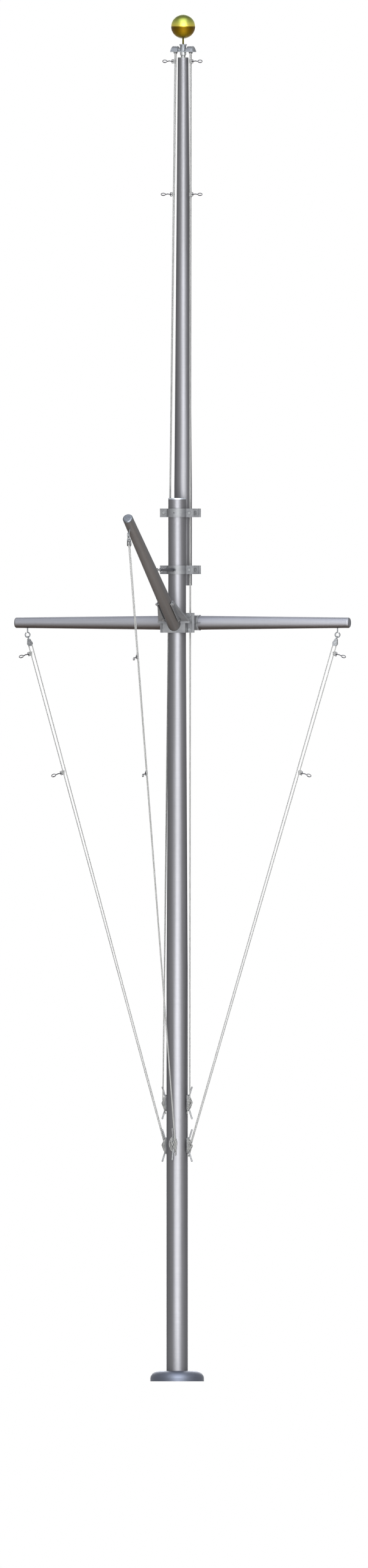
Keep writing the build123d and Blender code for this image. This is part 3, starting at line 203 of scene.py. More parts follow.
# ---------------------------------------------------------------- clamps and brackets
# The doubling straps and saddles, the yard clamp with its sleeve and the gaff bracket are sand-cast
# aluminium, left as cast. The sand leaves a fine even grain, so they look dull beside the tubes.
def grained_metal(name, light, dark, roughness):
    """Metal with the fine grain of a mould or a zinc bath, and soft clouds of tone."""
    material, tree, place = start_material(name)
    grain_size = 2.2 * mm        # real sand is 0.3 mm: this is as coarse as shows
    grain = add_node(tree, "ShaderNodeTexNoise", {
        "Vector": place, "Scale": 1 / grain_size, "Detail": 3.0, "Roughness": 0.6,
    }).outputs["Fac"]
    cloud_size = 45 * mm
    cloud = add_node(tree, "ShaderNodeTexNoise", {
        "Vector": place, "Scale": 1 / cloud_size, "Detail": 2.0,
    }).outputs["Fac"]
    colour = add_node(tree, "ShaderNodeValToRGB", {"Fac": cloud})
    colour.color_ramp.elements[0].position = 0.35
    colour.color_ramp.elements[0].color = linear(dark)
    colour.color_ramp.elements[1].position = 0.65
    colour.color_ramp.elements[1].color = linear(light)
    gloss = add_node(tree, "ShaderNodeMapRange", {
        "Value": grain, "From Min": 0.3, "From Max": 0.7,
        "To Min": roughness - 0.06, "To Max": roughness + 0.06,
    })
    relief = add_node(tree, "ShaderNodeBump", {"Height": grain, "Strength": 0.35, "Distance": 0.25 * mm})
    end_material(tree, {
        "Base Color": colour.outputs["Color"],
        "Metallic": 0.55,
        "Roughness": gloss.outputs["Result"],
        "Normal": relief.outputs["Normal"],
    })
    return material


bracket_aluminium = grained_metal("sand_cast_aluminium", "#606162", "#57585a", 0.56)
castings = ("doubling_straps_front", "doubling_saddles", "doubling_straps_rear", "gaff_bracket")
dress(bracket_aluminium, *castings, "yard_clamp_rear", "gaff_brace_lug")

# ---------------------------------------------------------------- yardarm
# A tube tapered both ways from its middle, anodised and sanded like the masts, with a flat cap pressed into
# each end. Its underside carries painted shade: the colour is darkened and browned where it faces the ground,
# and this fades out as the surface turns up towards the tube's sides.
quarter = pi / 2
yard_aluminium = satin_aluminium("satin_anodised_aluminium_yardarm", (0, quarter, 0), "#7b7c81", "#76777b")
tree = yard_aluminium.node_tree
shader = next(node for node in tree.nodes if node.type == "BSDF_PRINCIPLED")
sanded_colour = shader.inputs["Base Color"].links[0].from_socket
facing = add_node(tree, "ShaderNodeNewGeometry").outputs["Normal"]
facing = add_node(tree, "ShaderNodeSeparateXYZ", {"Vector": facing}).outputs["Z"]
# painted shade: the colour is darkened and browned where the surface faces down
painted_underside_shade = add_node(tree, "ShaderNodeValToRGB", {
    "Fac": add_node(tree, "ShaderNodeMapRange", {
        "Value": facing, "From Min": -1.0, "From Max": 0.1,
    }).outputs["Result"],
})
painted_underside_shade.color_ramp.elements[0].color = linear("#86796b")
painted_underside_shade.color_ramp.elements[1].color = (1, 1, 1, 1)
underside_shaded = add_node(tree, "ShaderNodeVectorMath", {
    0: sanded_colour, 1: painted_underside_shade.outputs["Color"],
}, operation="MULTIPLY")
tree.links.new(underside_shaded.outputs["Vector"], shader.inputs["Base Color"])
dress(yard_aluminium, "yardarm", "yard_end_caps")

# ---------------------------------------------------------------- gaff
# A tube tapered to its peak, anodised and sanded like the masts and bolted between the bracket's two wings.
# Its turned end cap faces the sky, so it looks paler than the tube.
gaff_elevation = 35.8            # degrees
gaff_turn = (radians(gaff_elevation) - quarter, 0, 0)
gaff_aluminium = satin_aluminium("satin_anodised_aluminium_gaff", gaff_turn, "#6c6b6b", "#676666")
gaff_cap_aluminium = satin_aluminium("turned_aluminium_gaff_cap", gaff_turn, "#62656a", "#5a5d61")
dress(gaff_aluminium, "gaff")
dress(gaff_cap_aluminium, "gaff_end_cap")


# ---------------------------------------------------------------- gaff brace
# A length of steel tube between two stainless screws, forked over a lug on the gaff. The tube is blackened,
# which leaves it a dull blue-grey, and the turned screws stay bright. The bolts are turned stainless too.
def steel(name, light, dark, roughness, grain_size):
    """Drawn or turned steel."""
    material, tree, place = start_material(name)
    grain = add_node(tree, "ShaderNodeTexNoise", {
        "Vector": place, "Scale": 1 / grain_size, "Detail": 2.0,
    }).outputs["Fac"]
    colour = add_node(tree, "ShaderNodeValToRGB", {"Fac": grain})
    colour.color_ramp.elements[0].position = 0.2
    colour.color_ramp.elements[0].color = linear(dark)
    colour.color_ramp.elements[1].position = 0.8
    colour.color_ramp.elements[1].color = linear(light)
    gloss = add_node(tree, "ShaderNodeMapRange", {
        "Value": grain, "From Min": 0.3, "From Max": 0.7,
        "To Min": roughness - 0.03, "To Max": roughness + 0.03,
    })
    end_material(tree, {
        "Base Color": colour.outputs["Color"],
        "Metallic": 1.0,
        "Roughness": gloss.outputs["Result"],
    })
    return material


blackened_steel = steel("blackened_steel_tube", "#43444a", "#37383d", 0.42, 6 * mm)
stainless = steel("turned_stainless_steel", "#868889", "#7e8081", 0.40, 3 * mm)
dress(blackened_steel, "gaff_brace_tube")
dress(stainless, "gaff_brace_rods", "gaff_brace_pin")
dress(stainless, "doubling_bolts", "yard_clamp_bolts", "gaff_bolts")

# ---------------------------------------------------------------- screw eyes, blocks and sheaves
# Open rings of dull galvanised wire screwed into the spars. Each carries a two-cheeked block, pressed from
# stainless sheet and a little cloudy, with a moulded nylon sheave on a headed pin.
zinc = grained_metal("galvanised_steel_wire", "#636567", "#545658", 0.45)
dress(zinc, "screw_eyes")
pressed_steel = steel("pressed_stainless_sheet", "#828486", "#5b5d5f", 0.42, 5 * mm)
dress(pressed_steel, "block_shells")
dress(stainless, "block_pins", "truck_axles", "cleat_screws")


def moulded_nylon():
    """Black nylon with the faint orange-peel skin of a mould."""
    material, tree, place = start_material("moulded_black_nylon")
    peel_size = 1.5 * mm
    peel = add_node(tree, "ShaderNodeTexNoise", {
        "Vector": place, "Scale": 1 / peel_size, "Detail": 1.0,
    }).outputs["Fac"]
    colour = add_node(tree, "ShaderNodeValToRGB", {"Fac": peel})
    colour.color_ramp.elements[0].color = linear("#262626")
    colour.color_ramp.elements[1].color = linear("#333332")
    relief = add_node(tree, "ShaderNodeBump", {"Height": peel, "Strength": 0.2, "Distance": 0.1 * mm})
    end_material(tree, {
        "Base Color": colour.outputs["Color"],
        "Roughness": 0.48,
        "IOR": 1.53,
        "Normal": relief.outputs["Normal"],
    })
    return material


sheave_nylon = moulded_nylon()
dress(sheave_nylon, "truck_sheave_left", "truck_sheave_right")
dress(sheave_nylon, "yard_right_block_sheave", "yard_left_block_sheave", "gaff_block_sheave")

# ---------------------------------------------------------------- truck and ball
# The truck is a cast body with two hoods over its sheaves, on a turned spindle in the topmast's head.
# Tumbling leaves it smooth and even. A ball of spun aluminium, polished and anodised gold, stands over it on
# a rod. Its gold is painted by height: a painted highlight in a bright band just above its middle, olive gold
# above that, and painted shade in a dull brown gold below.
truck_aluminium = grained_metal("tumbled_cast_aluminium", "#6d7073", "#5d6063", 0.50)
spindle_aluminium = grained_metal("turned_cast_aluminium", "#7d7e7d", "#6c6d6c", 0.4)
dress(truck_aluminium, "truck_body")
dress(spindle_aluminium, "truck_spindle")


def gold_anodised():
    """Aluminium spun into a ball, polished and anodised gold, with polishing rings, and painted highlight and
    shade by height.
    """
    material, tree, place = start_material("polished_gold_anodised_aluminium")
    ring_pitch = 3 * mm          # the real rings are finer: this is as coarse as shows
    ring_reach = 250 * mm
    rings = add_node(tree, "ShaderNodeMapping", {
        "Vector": place, "Scale": (1 / ring_reach, 1 / ring_reach, 1 / ring_pitch),
    })
    polish = add_node(tree, "ShaderNodeTexNoise", {
        "Vector": rings.outputs["Vector"], "Scale": 1.0, "Detail": 2.0,
    }).outputs["Fac"]
    low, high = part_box("ball")
    rise = add_node(tree, "ShaderNodeMapRange", {
        "Value": add_node(tree, "ShaderNodeSeparateXYZ", {"Vector": place}).outputs["Z"],
        "From Min": low.z, "From Max": high.z,
    })
    # painted light: a painted highlight in a band just above the ball's middle, and painted shade in brown
    # below it
    painted_light_tint = add_node(tree, "ShaderNodeValToRGB", {"Fac": rise.outputs["Result"]})
    ramp = painted_light_tint.color_ramp
    ramp.elements[0].position, ramp.elements[0].color = 0.0, linear("#4a471c")
    ramp.elements[1].position, ramp.elements[1].color = 1.0, linear("#5e6426")
    for share, code in (
        (0.12, "#6b590e"), (0.30, "#5c4608"), (0.47, "#4c3906"), (0.50, "#6f5f1a"),
        (0.53, "#b1a245"), (0.62, "#a29f4a"), (0.74, "#80853c"), (0.88, "#5a5f28"),
    ):
        ramp.elements.new(share).color = linear(code)
    worn = add_node(tree, "ShaderNodeMapRange", {
        "Value": polish, "From Min": 0.3, "From Max": 0.7, "To Min": 0.94, "To Max": 1.0,
    })
    colour = add_node(tree, "ShaderNodeVectorMath", {
        0: painted_light_tint.outputs["Color"], "Scale": worn.outputs["Result"],
    }, operation="SCALE")
    gloss = add_node(tree, "ShaderNodeMapRange", {
        "Value": rise.outputs["Result"], "From Min": 0.42, "From Max": 0.54, "To Min": 0.58, "To Max": 0.42,
    })
    end_material(tree, {
        "Base Color": colour.outputs["Vector"],
        "Metallic": 1.0,
        "Roughness": gloss.outputs["Result"],
    })
    return material


dress(gold_anodised(), "ball", "ball_rod")

# ---------------------------------------------------------------- cleats
# Cast aluminium cleats with two leaning horns each, screwed to the mast through their pads. Barrel polishing
# leaves them smoother than the brackets, with a soft shine along the horns.
cleat_aluminium = grained_metal("barrel_polished_cast_aluminium", "#696a6b", "#5d5e5f", 0.48)
dress(cleat_aluminium, "mast_cleats")


# ---------------------------------------------------------------- halyards
# Plaited polyester rope, 8 mm thick and pulled tight. Each goes up from its cleat, over its sheave and down
# again. Eight strands cross each other both ways, so the rope has a diamond grain.
pole = "pole"                    # the body of all but the sheaves and the snaps' hooks


def solids(node):
    """The lowest and highest corners of each separate solid in a CAD node, in the order of the lowest."""
    shape = bmesh.new()
    shape.from_mesh(nodes[node].data)
    bmesh.ops.remove_doubles(shape, verts=shape.verts, dist=0.01 * mm)
    left = set(shape.verts)
    found = []
    while left:
        stack = [left.pop()]
        low, high = stack[0].co.copy(), stack[0].co.copy()
        while stack:
            vertex = stack.pop()
            low = Vector(map(min, low, vertex.co))
            high = Vector(map(max, high, vertex.co))
            for edge in vertex.link_edges:
                other = edge.other_vert(vertex)
                if other in left:
                    left.remove(other)
                    stack.append(other)
        found.append((low, high))
    shape.free()
    return sorted(found, key=lambda corners: tuple(corners[0]))


def plaited_polyester(name, light, dark):
    """Polyester rope plaited from eight strands, with painted shade in the hollows between them, and patches
    of soil.
    """
    material, tree, place = start_material(name)
    wrap = add_node(tree, "ShaderNodeUVMap", uv_map="rope")
    parts = add_node(tree, "ShaderNodeSeparateXYZ", {"Vector": wrap.outputs["UV"]})
    strands = 4                  # each way round
    waves = []
    for way in (1, -1):
        around = add_node(tree, "ShaderNodeMath", {
            0: parts.outputs["X"], 1: way * strands * 2 * pi,
        }, operation="MULTIPLY")
        phase = add_node(tree, "ShaderNodeMath", {
            0: parts.outputs["Y"], 1: strands * 2 * pi, 2: around.outputs["Value"],
        }, operation="MULTIPLY_ADD")
        waves.append(add_node(tree, "ShaderNodeMath", {0: phase.outputs["Value"]}, operation="SINE"))
    plait = add_node(tree, "ShaderNodeMath", {
        0: waves[0].outputs["Value"], 1: waves[1].outputs["Value"],
    }, operation="MULTIPLY")
    # painted shade: darker in the hollows where the strands pass under each other, lighter on their crowns
    shade = add_node(tree, "ShaderNodeMapRange", {"Value": plait.outputs["Value"], "From Min": -1.0})
    soil_size = 60 * mm
    soil = add_node(tree, "ShaderNodeTexNoise", {
        "Vector": place, "Scale": 1 / soil_size, "Detail": 3.0,
    }).outputs["Fac"]
    mix = add_node(tree, "ShaderNodeMath", {
        0: shade.outputs["Result"], 1: soil,
    }, operation="MULTIPLY")
    colour = add_node(tree, "ShaderNodeValToRGB", {"Fac": mix.outputs["Value"]})
    colour.color_ramp.elements[0].color = linear(dark)
    colour.color_ramp.elements[1].position = 0.6
    colour.color_ramp.elements[1].color = linear(light)
    relief = add_node(tree, "ShaderNodeBump", {
        "Height": plait.outputs["Value"], "Strength": 0.5, "Distance": 0.4 * mm,
    })
    end_material(tree, {
        "Base Color": colour.outputs["Color"],
        "Roughness": 0.75,
        "Sheen Weight": 0.15,
        "Normal": relief.outputs["Normal"],
    })
    return material


rope_material = plaited_polyester("plaited_polyester_rope", "#777775", "#636361")
rope_lay = 26 * mm               # length of rope in which a strand goes once round
rope_around = 10                 # corners round a rope's section, every other one on a strand's crown
strand_depth = 0.05              # how far the hollows between strands lie in, as a share of the radius
off_line = (0.3, 0.5, 0.8)       # a direction that no rope starts along


def rope(name, path, radius, material=rope_material):
    """A rope along a path of points. Its section turns with the lay, and its UV goes round and along it."""
    path = np.array(path, float)
    steps = np.linalg.norm(np.diff(path, axis=0), axis=1)
    run = np.concatenate([[0], np.cumsum(steps)])
    along = np.gradient(path, axis=0)
    along /= np.linalg.norm(along, axis=1)[:, None]
    side = np.cross(along[0], off_line)
    sides = []
    for direction in along:
        side = side - direction * side.dot(direction)
        side /= np.linalg.norm(side)
        sides.append(side)
    sides = np.array(sides)
    backs = np.cross(along, sides)
    share = np.arange(rope_around) / rope_around
    angle = 2 * pi * (share[None, :] + run[:, None] / rope_lay)
    crown = 1 - strand_depth * (np.arange(rope_around) % 2)
    rings = path[:, None, :] + radius * crown[None, :, None] * (
        np.cos(angle)[:, :, None] * sides[:, None, :] + np.sin(angle)[:, :, None] * backs[:, None, :]
    )
    count = len(path)
    points = np.concatenate([rings.reshape(-1, 3), path[:1], path[-1:]])
    low = np.arange(count - 1)[:, None] * rope_around
    here = np.arange(rope_around)[None, :]
    after = (here + 1) % rope_around
    quads = np.stack([low + here, low + after, low + after + rope_around, low + here + rope_around], -1)
    faces = quads.reshape(-1, 4).tolist()
    top = (count - 1) * rope_around
    for k in range(rope_around):
        after_k = (k + 1) % rope_around
        faces.append([after_k, k, len(points) - 2])
        faces.append([top + k, top + after_k, len(points) - 1])
    mesh = bpy.data.meshes.new(name)
    mesh.from_pydata(points.tolist(), [], faces)
    layer = mesh.uv_layers.new(name="rope")
    u0 = np.broadcast_to(here / rope_around, (count - 1, rope_around))
    u1 = u0 + 1 / rope_around
    v0 = np.broadcast_to((run[:-1] / rope_lay)[:, None], u0.shape)
    v1 = np.broadcast_to((run[1:] / rope_lay)[:, None], u0.shape)
    sides_uv = np.stack([u0, v0, u1, v0, u1, v1, u0, v1], -1).reshape(-1)
    ends = 2
    corners = 3                  # of each face that closes an end
    ends_uv = np.zeros(rope_around * ends * corners * 2)
    layer.data.foreach_set("uv", np.concatenate([sides_uv, ends_uv]).astype(np.float32))
    mesh.polygons.foreach_set("use_smooth", [True] * len(mesh.polygons))
    mesh.materials.append(material)
    made = bpy.data.objects.new(name, mesh)
    bpy.context.scene.collection.objects.link(made)
    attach(made, pole)
    return made


def joined(name, pieces):
    """Several pieces made into one object."""
    with bpy.context.temp_override(
        active_object=pieces[0], selected_editable_objects=pieces, selected_objects=pieces
    ):
        bpy.ops.object.join()
    pieces[0].name = name
    return pieces[0]


halyard_r = 4 * mm
falls_apart = 8 * mm             # between a halyard's two falls where they reach the cleat
landing_out = 25 * mm            # out from the mast, above the cleat's middle, and beside its horns
landing_up = 25 * mm
landing_aside = 18 * mm
ring_step = 7 * mm               # between the rings of a halyard's mesh
sheave_steps = 24                # in the bend over a sheave
butt_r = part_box("lower_mast")[1].x
up = Vector((0, 0, 1))
joints = {joint["name"]: joint for joint in frame["joints"]}

hitch_boxes = solids("cleat_hitches")
hitch_middles = [(low + high) / 2 for low, high in hitch_boxes]


def cleat_frame(way, upper):
    """The middle of a cleat's seat on the mast, and its directions across and out."""
    same_way = 0.9               # the least cosine between the cleat's direction and the given one
    on_side = [m for m in hitch_middles if Vector((m.x, m.y, 0)).normalized().dot(way) > same_way]
    z = max(m.z for m in on_side) if upper else min(m.z for m in on_side)
    return Vector((0, 0, z)) + way * butt_r, up.cross(way), way


right = Vector((1, 0, 0))
front = Vector((0, -1, 0))
cleats = {
    "topmast_right": cleat_frame(right, True),
    "topmast_left": cleat_frame(-right, True),
    "yard_right": cleat_frame(right, False),
    "yard_left": cleat_frame(-right, False),
    "gaff": cleat_frame(front, False),
}


def halyard_path(sheave_node, pitch_r, cleat, aside):
    """Up one fall, over the sheave and down the other fall, as points."""
    joint = joints[f"{sheave_node}_spin"]
    centre = Vector(joint["pos_m"])
    seat, across, out = cleats[cleat]
    target = seat + across * aside * landing_aside + up * landing_up + out * landing_out
    back = (centre - target).normalized()
    axle = Vector(joint["axis"])
    axle = (axle - back * axle.dot(back)).normalized()
    sideways = back.cross(axle)
    fall = (centre - target).length
    leave = atan2(-fall, falls_apart / 2) + acos(pitch_r / hypot(falls_apart / 2, fall))
    flat = [(-falls_apart / 2, -fall)]
    turn = pi - 2 * leave
    for k in range(sheave_steps + 1):
        a = pi - leave - turn * k / sheave_steps
        flat.append((pitch_r * cos(a), pitch_r * sin(a)))
    flat.append((falls_apart / 2, -fall))
    points = []
    for (x0, y0), (x1, y1) in zip(flat, flat[1:]):
        count = max(1, round(hypot(x1 - x0, y1 - y0) / ring_step))
        for k in range(count):
            points.append((x0 + (x1 - x0) * k / count, y0 + (y1 - y0) * k / count))
    points.append(flat[-1])
    return [centre + sideways * x + back * y for x, y in points]


truck_pitch_r = 14 * mm
block_pitch_r = 13 * mm
halyards = (
    ("topmast_halyard_right", "truck_sheave_right", truck_pitch_r, "topmast_right", -1),
    ("topmast_halyard_left", "truck_sheave_left", truck_pitch_r, "topmast_left", 1),
    ("yard_halyard_right", "yard_right_block_sheave", block_pitch_r, "yard_right", 1),
    ("yard_halyard_left", "yard_left_block_sheave", block_pitch_r, "yard_left", -1),
    ("gaff_halyard", "gaff_block_sheave", block_pitch_r, "gaff", 1),
)
fall_ends = {}
for name, sheave_node, pitch_r, cleat, aside in halyards:
    path = halyard_path(sheave_node, pitch_r, cleat, aside)
    fall_ends[cleat] = (path[0], path[-1])
    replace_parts(rope(f"{name}_rope", path, halyard_r), name)


# ---------------------------------------------------------------- hitches on the cleats
# The same rope, greyer where hands and the cleats rub it. One fall is turned up on its cleat, with four turns
# round under both horns, three that cross over the front, and a short tail. The other is tucked under them.
def smooth(points, step):
    """Points a step apart on a smooth curve through the given ones."""
    given = [Vector(p) for p in points]
    given = [2 * given[0] - given[1]] + given + [2 * given[-1] - given[-2]]
    made = []
    for a, b, c, d in zip(given, given[1:], given[2:], given[3:]):
        bend = 2 * a - 5 * b + 4 * c - d
        twist = 3 * b - a - 3 * c + d
        count = max(2, round((c - b).length / step))
        for k in range(count):
            t = k / count
            made.append(0.5 * (2 * b + (c - a) * t + bend * t**2 + twist * t**3))
    made.append(given[-2])
    return made


hitch_half = 27 * mm             # half the width of the outermost turns, to the rope's middle
hitch_end = 53 * mm              # from the cleat's middle to the rope's middle under a horn
under_horn = 5.2 * mm            # the rope's middle, out from the mast, where it passes under a horn


def hitch_points(aside):
    """The turns on one cleat after the falls reach it, as (across, up, out) points in metres."""
    points = [(aside * 0.85 * hitch_half, 4 * mm, 20 * mm)]
    # each turn: its shares of the hitch's half width and height, and how far out from the mast it lies
    round_turns = ((1.0, 1.0, 13 * mm), (0.73, 0.90, 17 * mm), (0.45, 0.80, 20 * mm), (0.95, 0.94, 22 * mm))
    for half, end, out in round_turns:
        a = aside * hitch_half * half
        b = hitch_end * end
        points += [
            (0.72 * a, -0.68 * b, 0.7 * out),
            (0, -b, under_horn),
            (-0.72 * a, -0.68 * b, 0.7 * out),
            (-a, 0, out),
            (-0.72 * a, 0.68 * b, 0.7 * out),
            (0, b, under_horn),
            (0.72 * a, 0.68 * b, 0.7 * out),
            (a, 0, out),
        ]
    crossing_turns = ((0.82, 1.0, 27 * mm), (0.60, 0.92, 30 * mm), (0.40, 0.84, 33 * mm))
    for half, end, out in crossing_turns:
        a = aside * hitch_half * half
        b = hitch_end * end
        points += [
            (0.9 * a, -0.60 * b, 0.68 * out),
            (0, -b, under_horn),
            (-0.9 * a, -0.60 * b, 0.68 * out),
            (0, 0, out),
            (0.9 * a, 0.60 * b, 0.68 * out),
            (0, b, under_horn),
            (-0.9 * a, 0.60 * b, 0.68 * out),
            (0, 0, out + halyard_r),
        ]
    a = aside * hitch_half
    points += [
        (0.6 * a, -0.5 * hitch_end, 22 * mm),
        (0.8 * a, -0.95 * hitch_end, 13 * mm),
        (0.7 * a, -1.3 * hitch_end, 6 * mm),
        (0.62 * a, -1.5 * hitch_end, 5 * mm),
    ]
    return points


def tucked_points(aside):
    """The end of the other fall, which goes down into the turns."""
    a = aside * hitch_half
    return [(0.55 * a, 2 * mm, 19 * mm), (0.35 * a, -18 * mm, 15 * mm), (0.1 * a, -30 * mm, 10 * mm)]


handled_rope = plaited_polyester("handled_polyester_rope", "#6c6c6a", "#525250")
hitch_step = 3 * mm              # between the rings of a hitch's mesh
hitches = []
for *_, cleat, aside in halyards:
    seat, across, out = cleats[cleat]
    for start, turns in zip(fall_ends[cleat], (hitch_points(aside), tucked_points(aside))):
        places = [start] + [seat + across * a + up * b + out * c for a, b, c in turns]
        hitches.append(rope(f"{cleat}_hitch", smooth(places, hitch_step), halyard_r, handled_rope))
hitch = joined("cleat_hitch_turns", hitches)
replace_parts(hitch, "cleat_hitches")

# ---------------------------------------------------------------- snaps
# Swivel snaps of stainless steel, tumbled to a dull dark grey. Each one's eye is seized to its halyard with
# turns of cord. Its hook is forged from bar, with a bent shank that turns in the eye's boss and a sleeved
# spring gate.
snap_steel = steel("tumbled_stainless_steel", "#515154", "#434346", 0.40, 4 * mm)
dress(snap_steel, "snap_eyes")
hook_head_r = 4.7 * mm           # behind the eye's boss
hook_neck_r = 3.4 * mm           # in the boss
hook_bar_r = 3.9 * mm
hook_loop_r = 3.1 * mm
loop_middle = 54.5 * mm          # from the swivel's middle, along the snap
loop_half_length = 16.0 * mm     # to the bar's middle
loop_half_width = 8.6 * mm
loop_corners = 28
gate_r = 4.3 * mm                # of the gate's sleeve at its middle
gate_end_r = 3.6 * mm
stud_place = 50 * mm             # along the snap
stud_out = -8.4 * mm             # below the swivel's axis, inside the sleeve
stud_r = 1.8 * mm
stud_head_r = 3 * mm


def snap_hook(snap):
    """One hook: bars turned into a mesh. Their points are (along the swivel's axis, up, beside, radius)."""
    joint = joints[f"{snap}_swivel"]
    origin = Vector(joint["pos_m"])
    out = Vector(joint["axis"])
    rise = (up - out * up.dot(out)).normalized()
    beside = out.cross(rise)
    head = [(-7 * mm, 0, 0, hook_head_r), (-3.1 * mm, 0, 0, hook_head_r)]
    shank = [
        (-3.2 * mm, 0, 0, hook_neck_r), (3.2 * mm, 0, 0, hook_neck_r), (6 * mm, 0, 0, hook_bar_r),
        (13 * mm, 1.6 * mm, 0, hook_bar_r), (20 * mm, 2.4 * mm, 0, hook_bar_r),
        (27 * mm, 1.2 * mm, 0, hook_bar_r), (33 * mm, 0, 0, hook_bar_r), (40 * mm, 0, 0, hook_loop_r),
    ]
    loop = []
    for k in range(loop_corners):
        a = 2 * pi * k / loop_corners
        loop.append((loop_middle + loop_half_length * cos(a), loop_half_width * sin(a), 0, hook_loop_r))
    gate = [
        (44 * mm, -7.6 * mm, 0, gate_end_r), (55 * mm, -8.6 * mm, 0, gate_r),
        (65 * mm, -7.4 * mm, 0, gate_end_r),
    ]
    stud = [
        (stud_place, stud_out, 0, stud_r), (stud_place, stud_out, 8 * mm, stud_r),
        (stud_place, stud_out, 9.5 * mm, stud_head_r),
    ]
    curve = bpy.data.curves.new(snap, "CURVE")
    curve.dimensions = "3D"
    curve.bevel_depth = 1.0
    curve.bevel_resolution = 2
    curve.use_fill_caps = True
    for bar in (head, shank, loop, gate, stud):
        spline = curve.splines.new("POLY")
        spline.points.add(len(bar) - 1)
        spline.use_cyclic_u = bar is loop
        spline.use_smooth = True
        for point, (x, y, z, radius) in zip(spline.points, bar):
            point.co = (*(origin + out * x + rise * y + beside * z), 1.0)
            point.radius = radius
    drawn = bpy.data.objects.new(snap, curve)
    made = bpy.data.objects.new(f"{snap}_trigger_hook", bpy.data.meshes.new_from_object(drawn))
    bpy.data.objects.remove(drawn)
    made.data.materials.clear()
    made.data.materials.append(snap_steel)
    bpy.context.scene.collection.objects.link(made)
    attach(made, joint["child"])
    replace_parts(made, f"{snap}_hook")


for name in sorted(nodes):
    if name.endswith("_snap_hook"):
        snap_hook(name.removesuffix("_hook"))

seizing_r = 2.4 * mm
seizing_turns = 6
seizing_height = 27 * mm         # between the first turn and the last
seizing_tail = 5 * mm
seizing_flare = 0.3              # how far the tails stand out, as a share of the seizing's radius
seizing_corners = 16             # in each turn
seizing_step = 1.5 * mm          # between the rings of the cord's mesh
seizings = []
for k, (low, high) in enumerate(solids("snap_knots")):
    middle = (low + high) / 2
    reach = (high - low) / 2
    points = []
    for step in range(seizing_turns * seizing_corners + 1):
        a = 2 * pi * step / seizing_corners
        rise = (step / (seizing_turns * seizing_corners) - 0.5) * seizing_height
        points.append(
            middle + Vector((cos(a) * (reach.x - seizing_r), sin(a) * (reach.y - seizing_r), rise))
        )
    first, last = points[0], points[-1]
    flare = (first - middle) * seizing_flare
    points = [first + flare - up * seizing_tail] + points + [last + flare + up * seizing_tail]
    seizings.append(rope(f"seizing_{k}", smooth(points, seizing_step), seizing_r))
seizing = joined("snap_seizings", seizings)
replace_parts(seizing, "snap_knots")

# ---------------------------------------------------------------- floor
# A round floor under the pole, painted a pale matt grey. It keeps the pole's soft shadow, and it fades out
# towards its edge, so that no rim shows.
floor_r = 2.4
fade_start_r = 0.25
floor_white = 0.78               # share of plain white mixed into the paint where the floor is seen
rim_corners = 96
floor_mesh = bpy.data.meshes.new("floor")
rim = []
for k in range(rim_corners):
    a = 2 * pi * k / rim_corners
    rim.append((floor_r * cos(a), floor_r * sin(a), 0))
floor_mesh.from_pydata(rim, [], [list(range(rim_corners))])
floor = bpy.data.objects.new("floor", floor_mesh)
floor.location.z = -1 * mm
bpy.context.scene.collection.objects.link(floor)


def plainly_seen(tree):
    """1 on rays from the camera and on those that metal or glass passes on, and 0 on all others."""
    rays = add_node(tree, "ShaderNodeLightPath").outputs
    found = rays["Is Camera Ray"]
    for kind in ("Is Glossy Ray", "Is Transmission Ray"):
        larger = add_node(tree, "ShaderNodeMath", {0: found, 1: rays[kind]}, operation="MAXIMUM")
        found = larger.outputs["Value"]
    return found


floor_paint, tree, place = start_material("matt_floor_paint")
paint = add_node(tree, "ShaderNodeBsdfDiffuse", {"Color": linear("#d9d6d1")})
glow = add_node(tree, "ShaderNodeEmission", {"Color": (1, 1, 1, 1), "Strength": 1.0})
bright = add_node(tree, "ShaderNodeMath", {0: plainly_seen(tree), 1: floor_white}, operation="MULTIPLY")
lit = add_node(tree, "ShaderNodeMixShader", {
    0: bright.outputs["Value"], 1: paint.outputs["BSDF"], 2: glow.outputs["Emission"],
})
reach = add_node(tree, "ShaderNodeVectorMath", {0: place}, operation="LENGTH")
fade = add_node(tree, "ShaderNodeMapRange", {
    "Value": reach.outputs["Value"], "From Min": fade_start_r, "From Max": floor_r * 0.95,
}, interpolation_type="SMOOTHSTEP")
clear = add_node(tree, "ShaderNodeBsdfTransparent")
faded = add_node(tree, "ShaderNodeMixShader", {
    0: fade.outputs["Result"], 1: lit.outputs["Shader"], 2: clear.outputs["BSDF"],
})
add_node(tree, "ShaderNodeOutputMaterial", {"Surface": faded.outputs["Shader"]})
floor_mesh.materials.append(floor_paint)

# ---------------------------------------------------------------- studio light
# A white backdrop, though metal mirrors surroundings that darken and warm towards the ground. A tall soft
# lamp stands in front with a low one beside it, one behind, and a broad one hangs overhead.
bpy.context.scene.view_settings.view_transform = "Standard"
world = bpy.data.worlds.new("studio")
bpy.context.scene.world = world
world.use_nodes = True
tree = world.node_tree
tree.nodes.clear()
toward = add_node(tree, "ShaderNodeTexCoord").outputs["Generated"]
height = add_node(tree, "ShaderNodeSeparateXYZ", {"Vector": toward})
sky = add_node(tree, "ShaderNodeValToRGB", {
    "Fac": add_node(tree, "ShaderNodeMapRange", {
        "Value": height.outputs["Z"], "From Min": -1.0, "From Max": 1.0,
    }).outputs["Result"],
})
white = (1, 1, 1, 1)
degrees_up = (-38, -18)          # brown below the first, white above the second
for stop, elevation, colour in zip(sky.color_ramp.elements, degrees_up, (linear("#d1beae"), white)):
    stop.position = sin(radians(elevation)) / 2 + 0.5
    stop.color = colour
camera_ray = add_node(tree, "ShaderNodeLightPath").outputs["Is Camera Ray"]
whitened = add_node(tree, "ShaderNodeVectorMath", {
    0: sky.outputs["Color"], 1: camera_ray,
}, operation="MAXIMUM")
shown = add_node(tree, "ShaderNodeBackground", {"Color": whitened.outputs["Vector"], "Strength": 1.0})
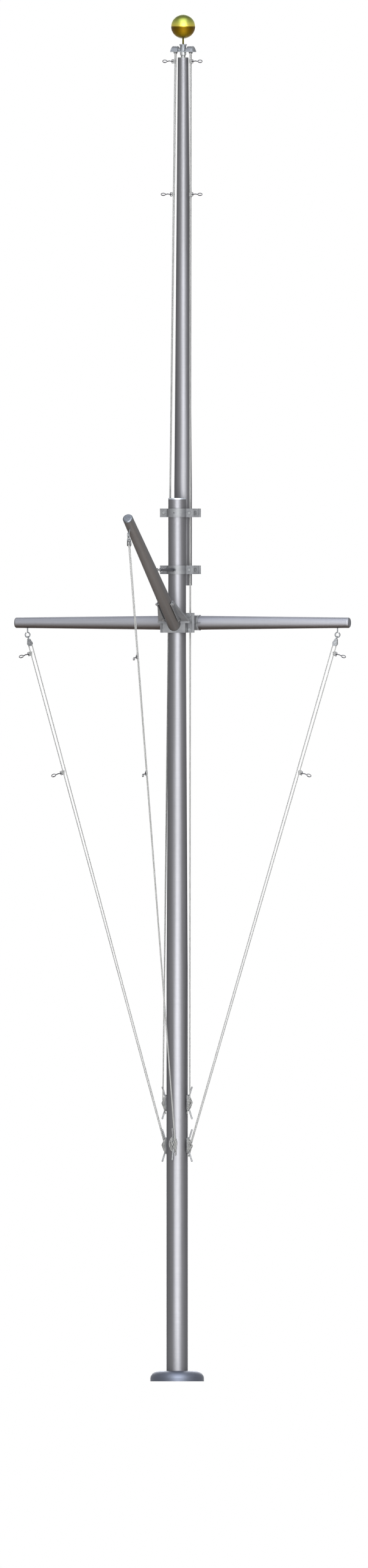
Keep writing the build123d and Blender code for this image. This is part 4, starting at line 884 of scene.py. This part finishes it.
fill = add_node(tree, "ShaderNodeBackground", {"Color": linear("#f4f6fa"), "Strength": 0.30})
both = add_node(tree, "ShaderNodeMixShader", {
    0: plainly_seen(tree), 1: fill.outputs["Background"], 2: shown.outputs["Background"],
})
add_node(tree, "ShaderNodeOutputWorld", {"Surface": both.outputs["Shader"]})

camera_azimuth = 18.7            # degrees round from the pole's front
front_azimuth = camera_azimuth + 5
lamp_z = (cad_box[0].z + cad_box[1].z) / 2 + 0.6      # a little above the pole's middle
foot_z = 1.4


def soft_lamp(name, azimuth, distance, z, width, height, radiance, colour, aim_z):
    """A flat lamp that faces the pole. Its power is worked out from the brightness of its face."""
    data = bpy.data.lights.new(name, "AREA")
    data.shape = "RECTANGLE"
    data.size = width
    data.size_y = height
    data.energy = radiance * pi * width * height
    data.color = linear(colour)[:3]
    lamp = bpy.data.objects.new(name, data)
    a = radians(azimuth)
    lamp.location = (distance * sin(a), -distance * cos(a), z)
    aim = Vector((0, 0, aim_z)) - lamp.location
    lamp.rotation_euler = aim.to_track_quat("-Z", "Y").to_euler()
    lamp.visible_camera = False
    bpy.context.scene.collection.objects.link(lamp)
    return lamp


cool_white = "#f8f9fb"
soft_lamp(
    "front_lamp", azimuth=front_azimuth, distance=7.0, z=lamp_z, width=4.6, height=16.0,
    radiance=10.8, colour=cool_white, aim_z=lamp_z,
)
soft_lamp(
    "rear_lamp", azimuth=camera_azimuth + 180, distance=7.0, z=lamp_z, width=4.6, height=16.0,
    radiance=5.0, colour=cool_white, aim_z=lamp_z,
)
soft_lamp(
    "foot_lamp", azimuth=front_azimuth, distance=6.8, z=foot_z, width=4.6, height=4.4,
    radiance=4.2, colour=cool_white, aim_z=foot_z,
)
soft_lamp(
    "top_lamp", azimuth=camera_azimuth, distance=3.5, z=16.0, width=7.0, height=7.0,
    radiance=5.8, colour="#e9efff", aim_z=6.0,
)

# ---------------------------------------------------------------- camera
# Level with the middle of the view, and without perspective, so that upright and level edges stay so over
# the pole's whole height.
view_height = 11.216             # metres
middle_z = 4.273                 # of the view
middle_right = 0.049             # of the view, right of the lower mast's axis
camera_distance = 30.0
camera_data = bpy.data.cameras.new("camera")
camera_data.type = "ORTHO"
camera_data.ortho_scale = view_height
camera_data.clip_end = 4 * camera_distance
a = radians(camera_azimuth)
back = Vector((sin(a), -cos(a), 0))
camera = bpy.data.objects.new("camera", camera_data)
camera.location = back * camera_distance + Vector((cos(a), sin(a), 0)) * middle_right + up * middle_z
camera.rotation_euler = (-back).to_track_quat("-Z", "Y").to_euler()
bpy.context.scene.collection.objects.link(camera)
bpy.context.scene.camera = camera
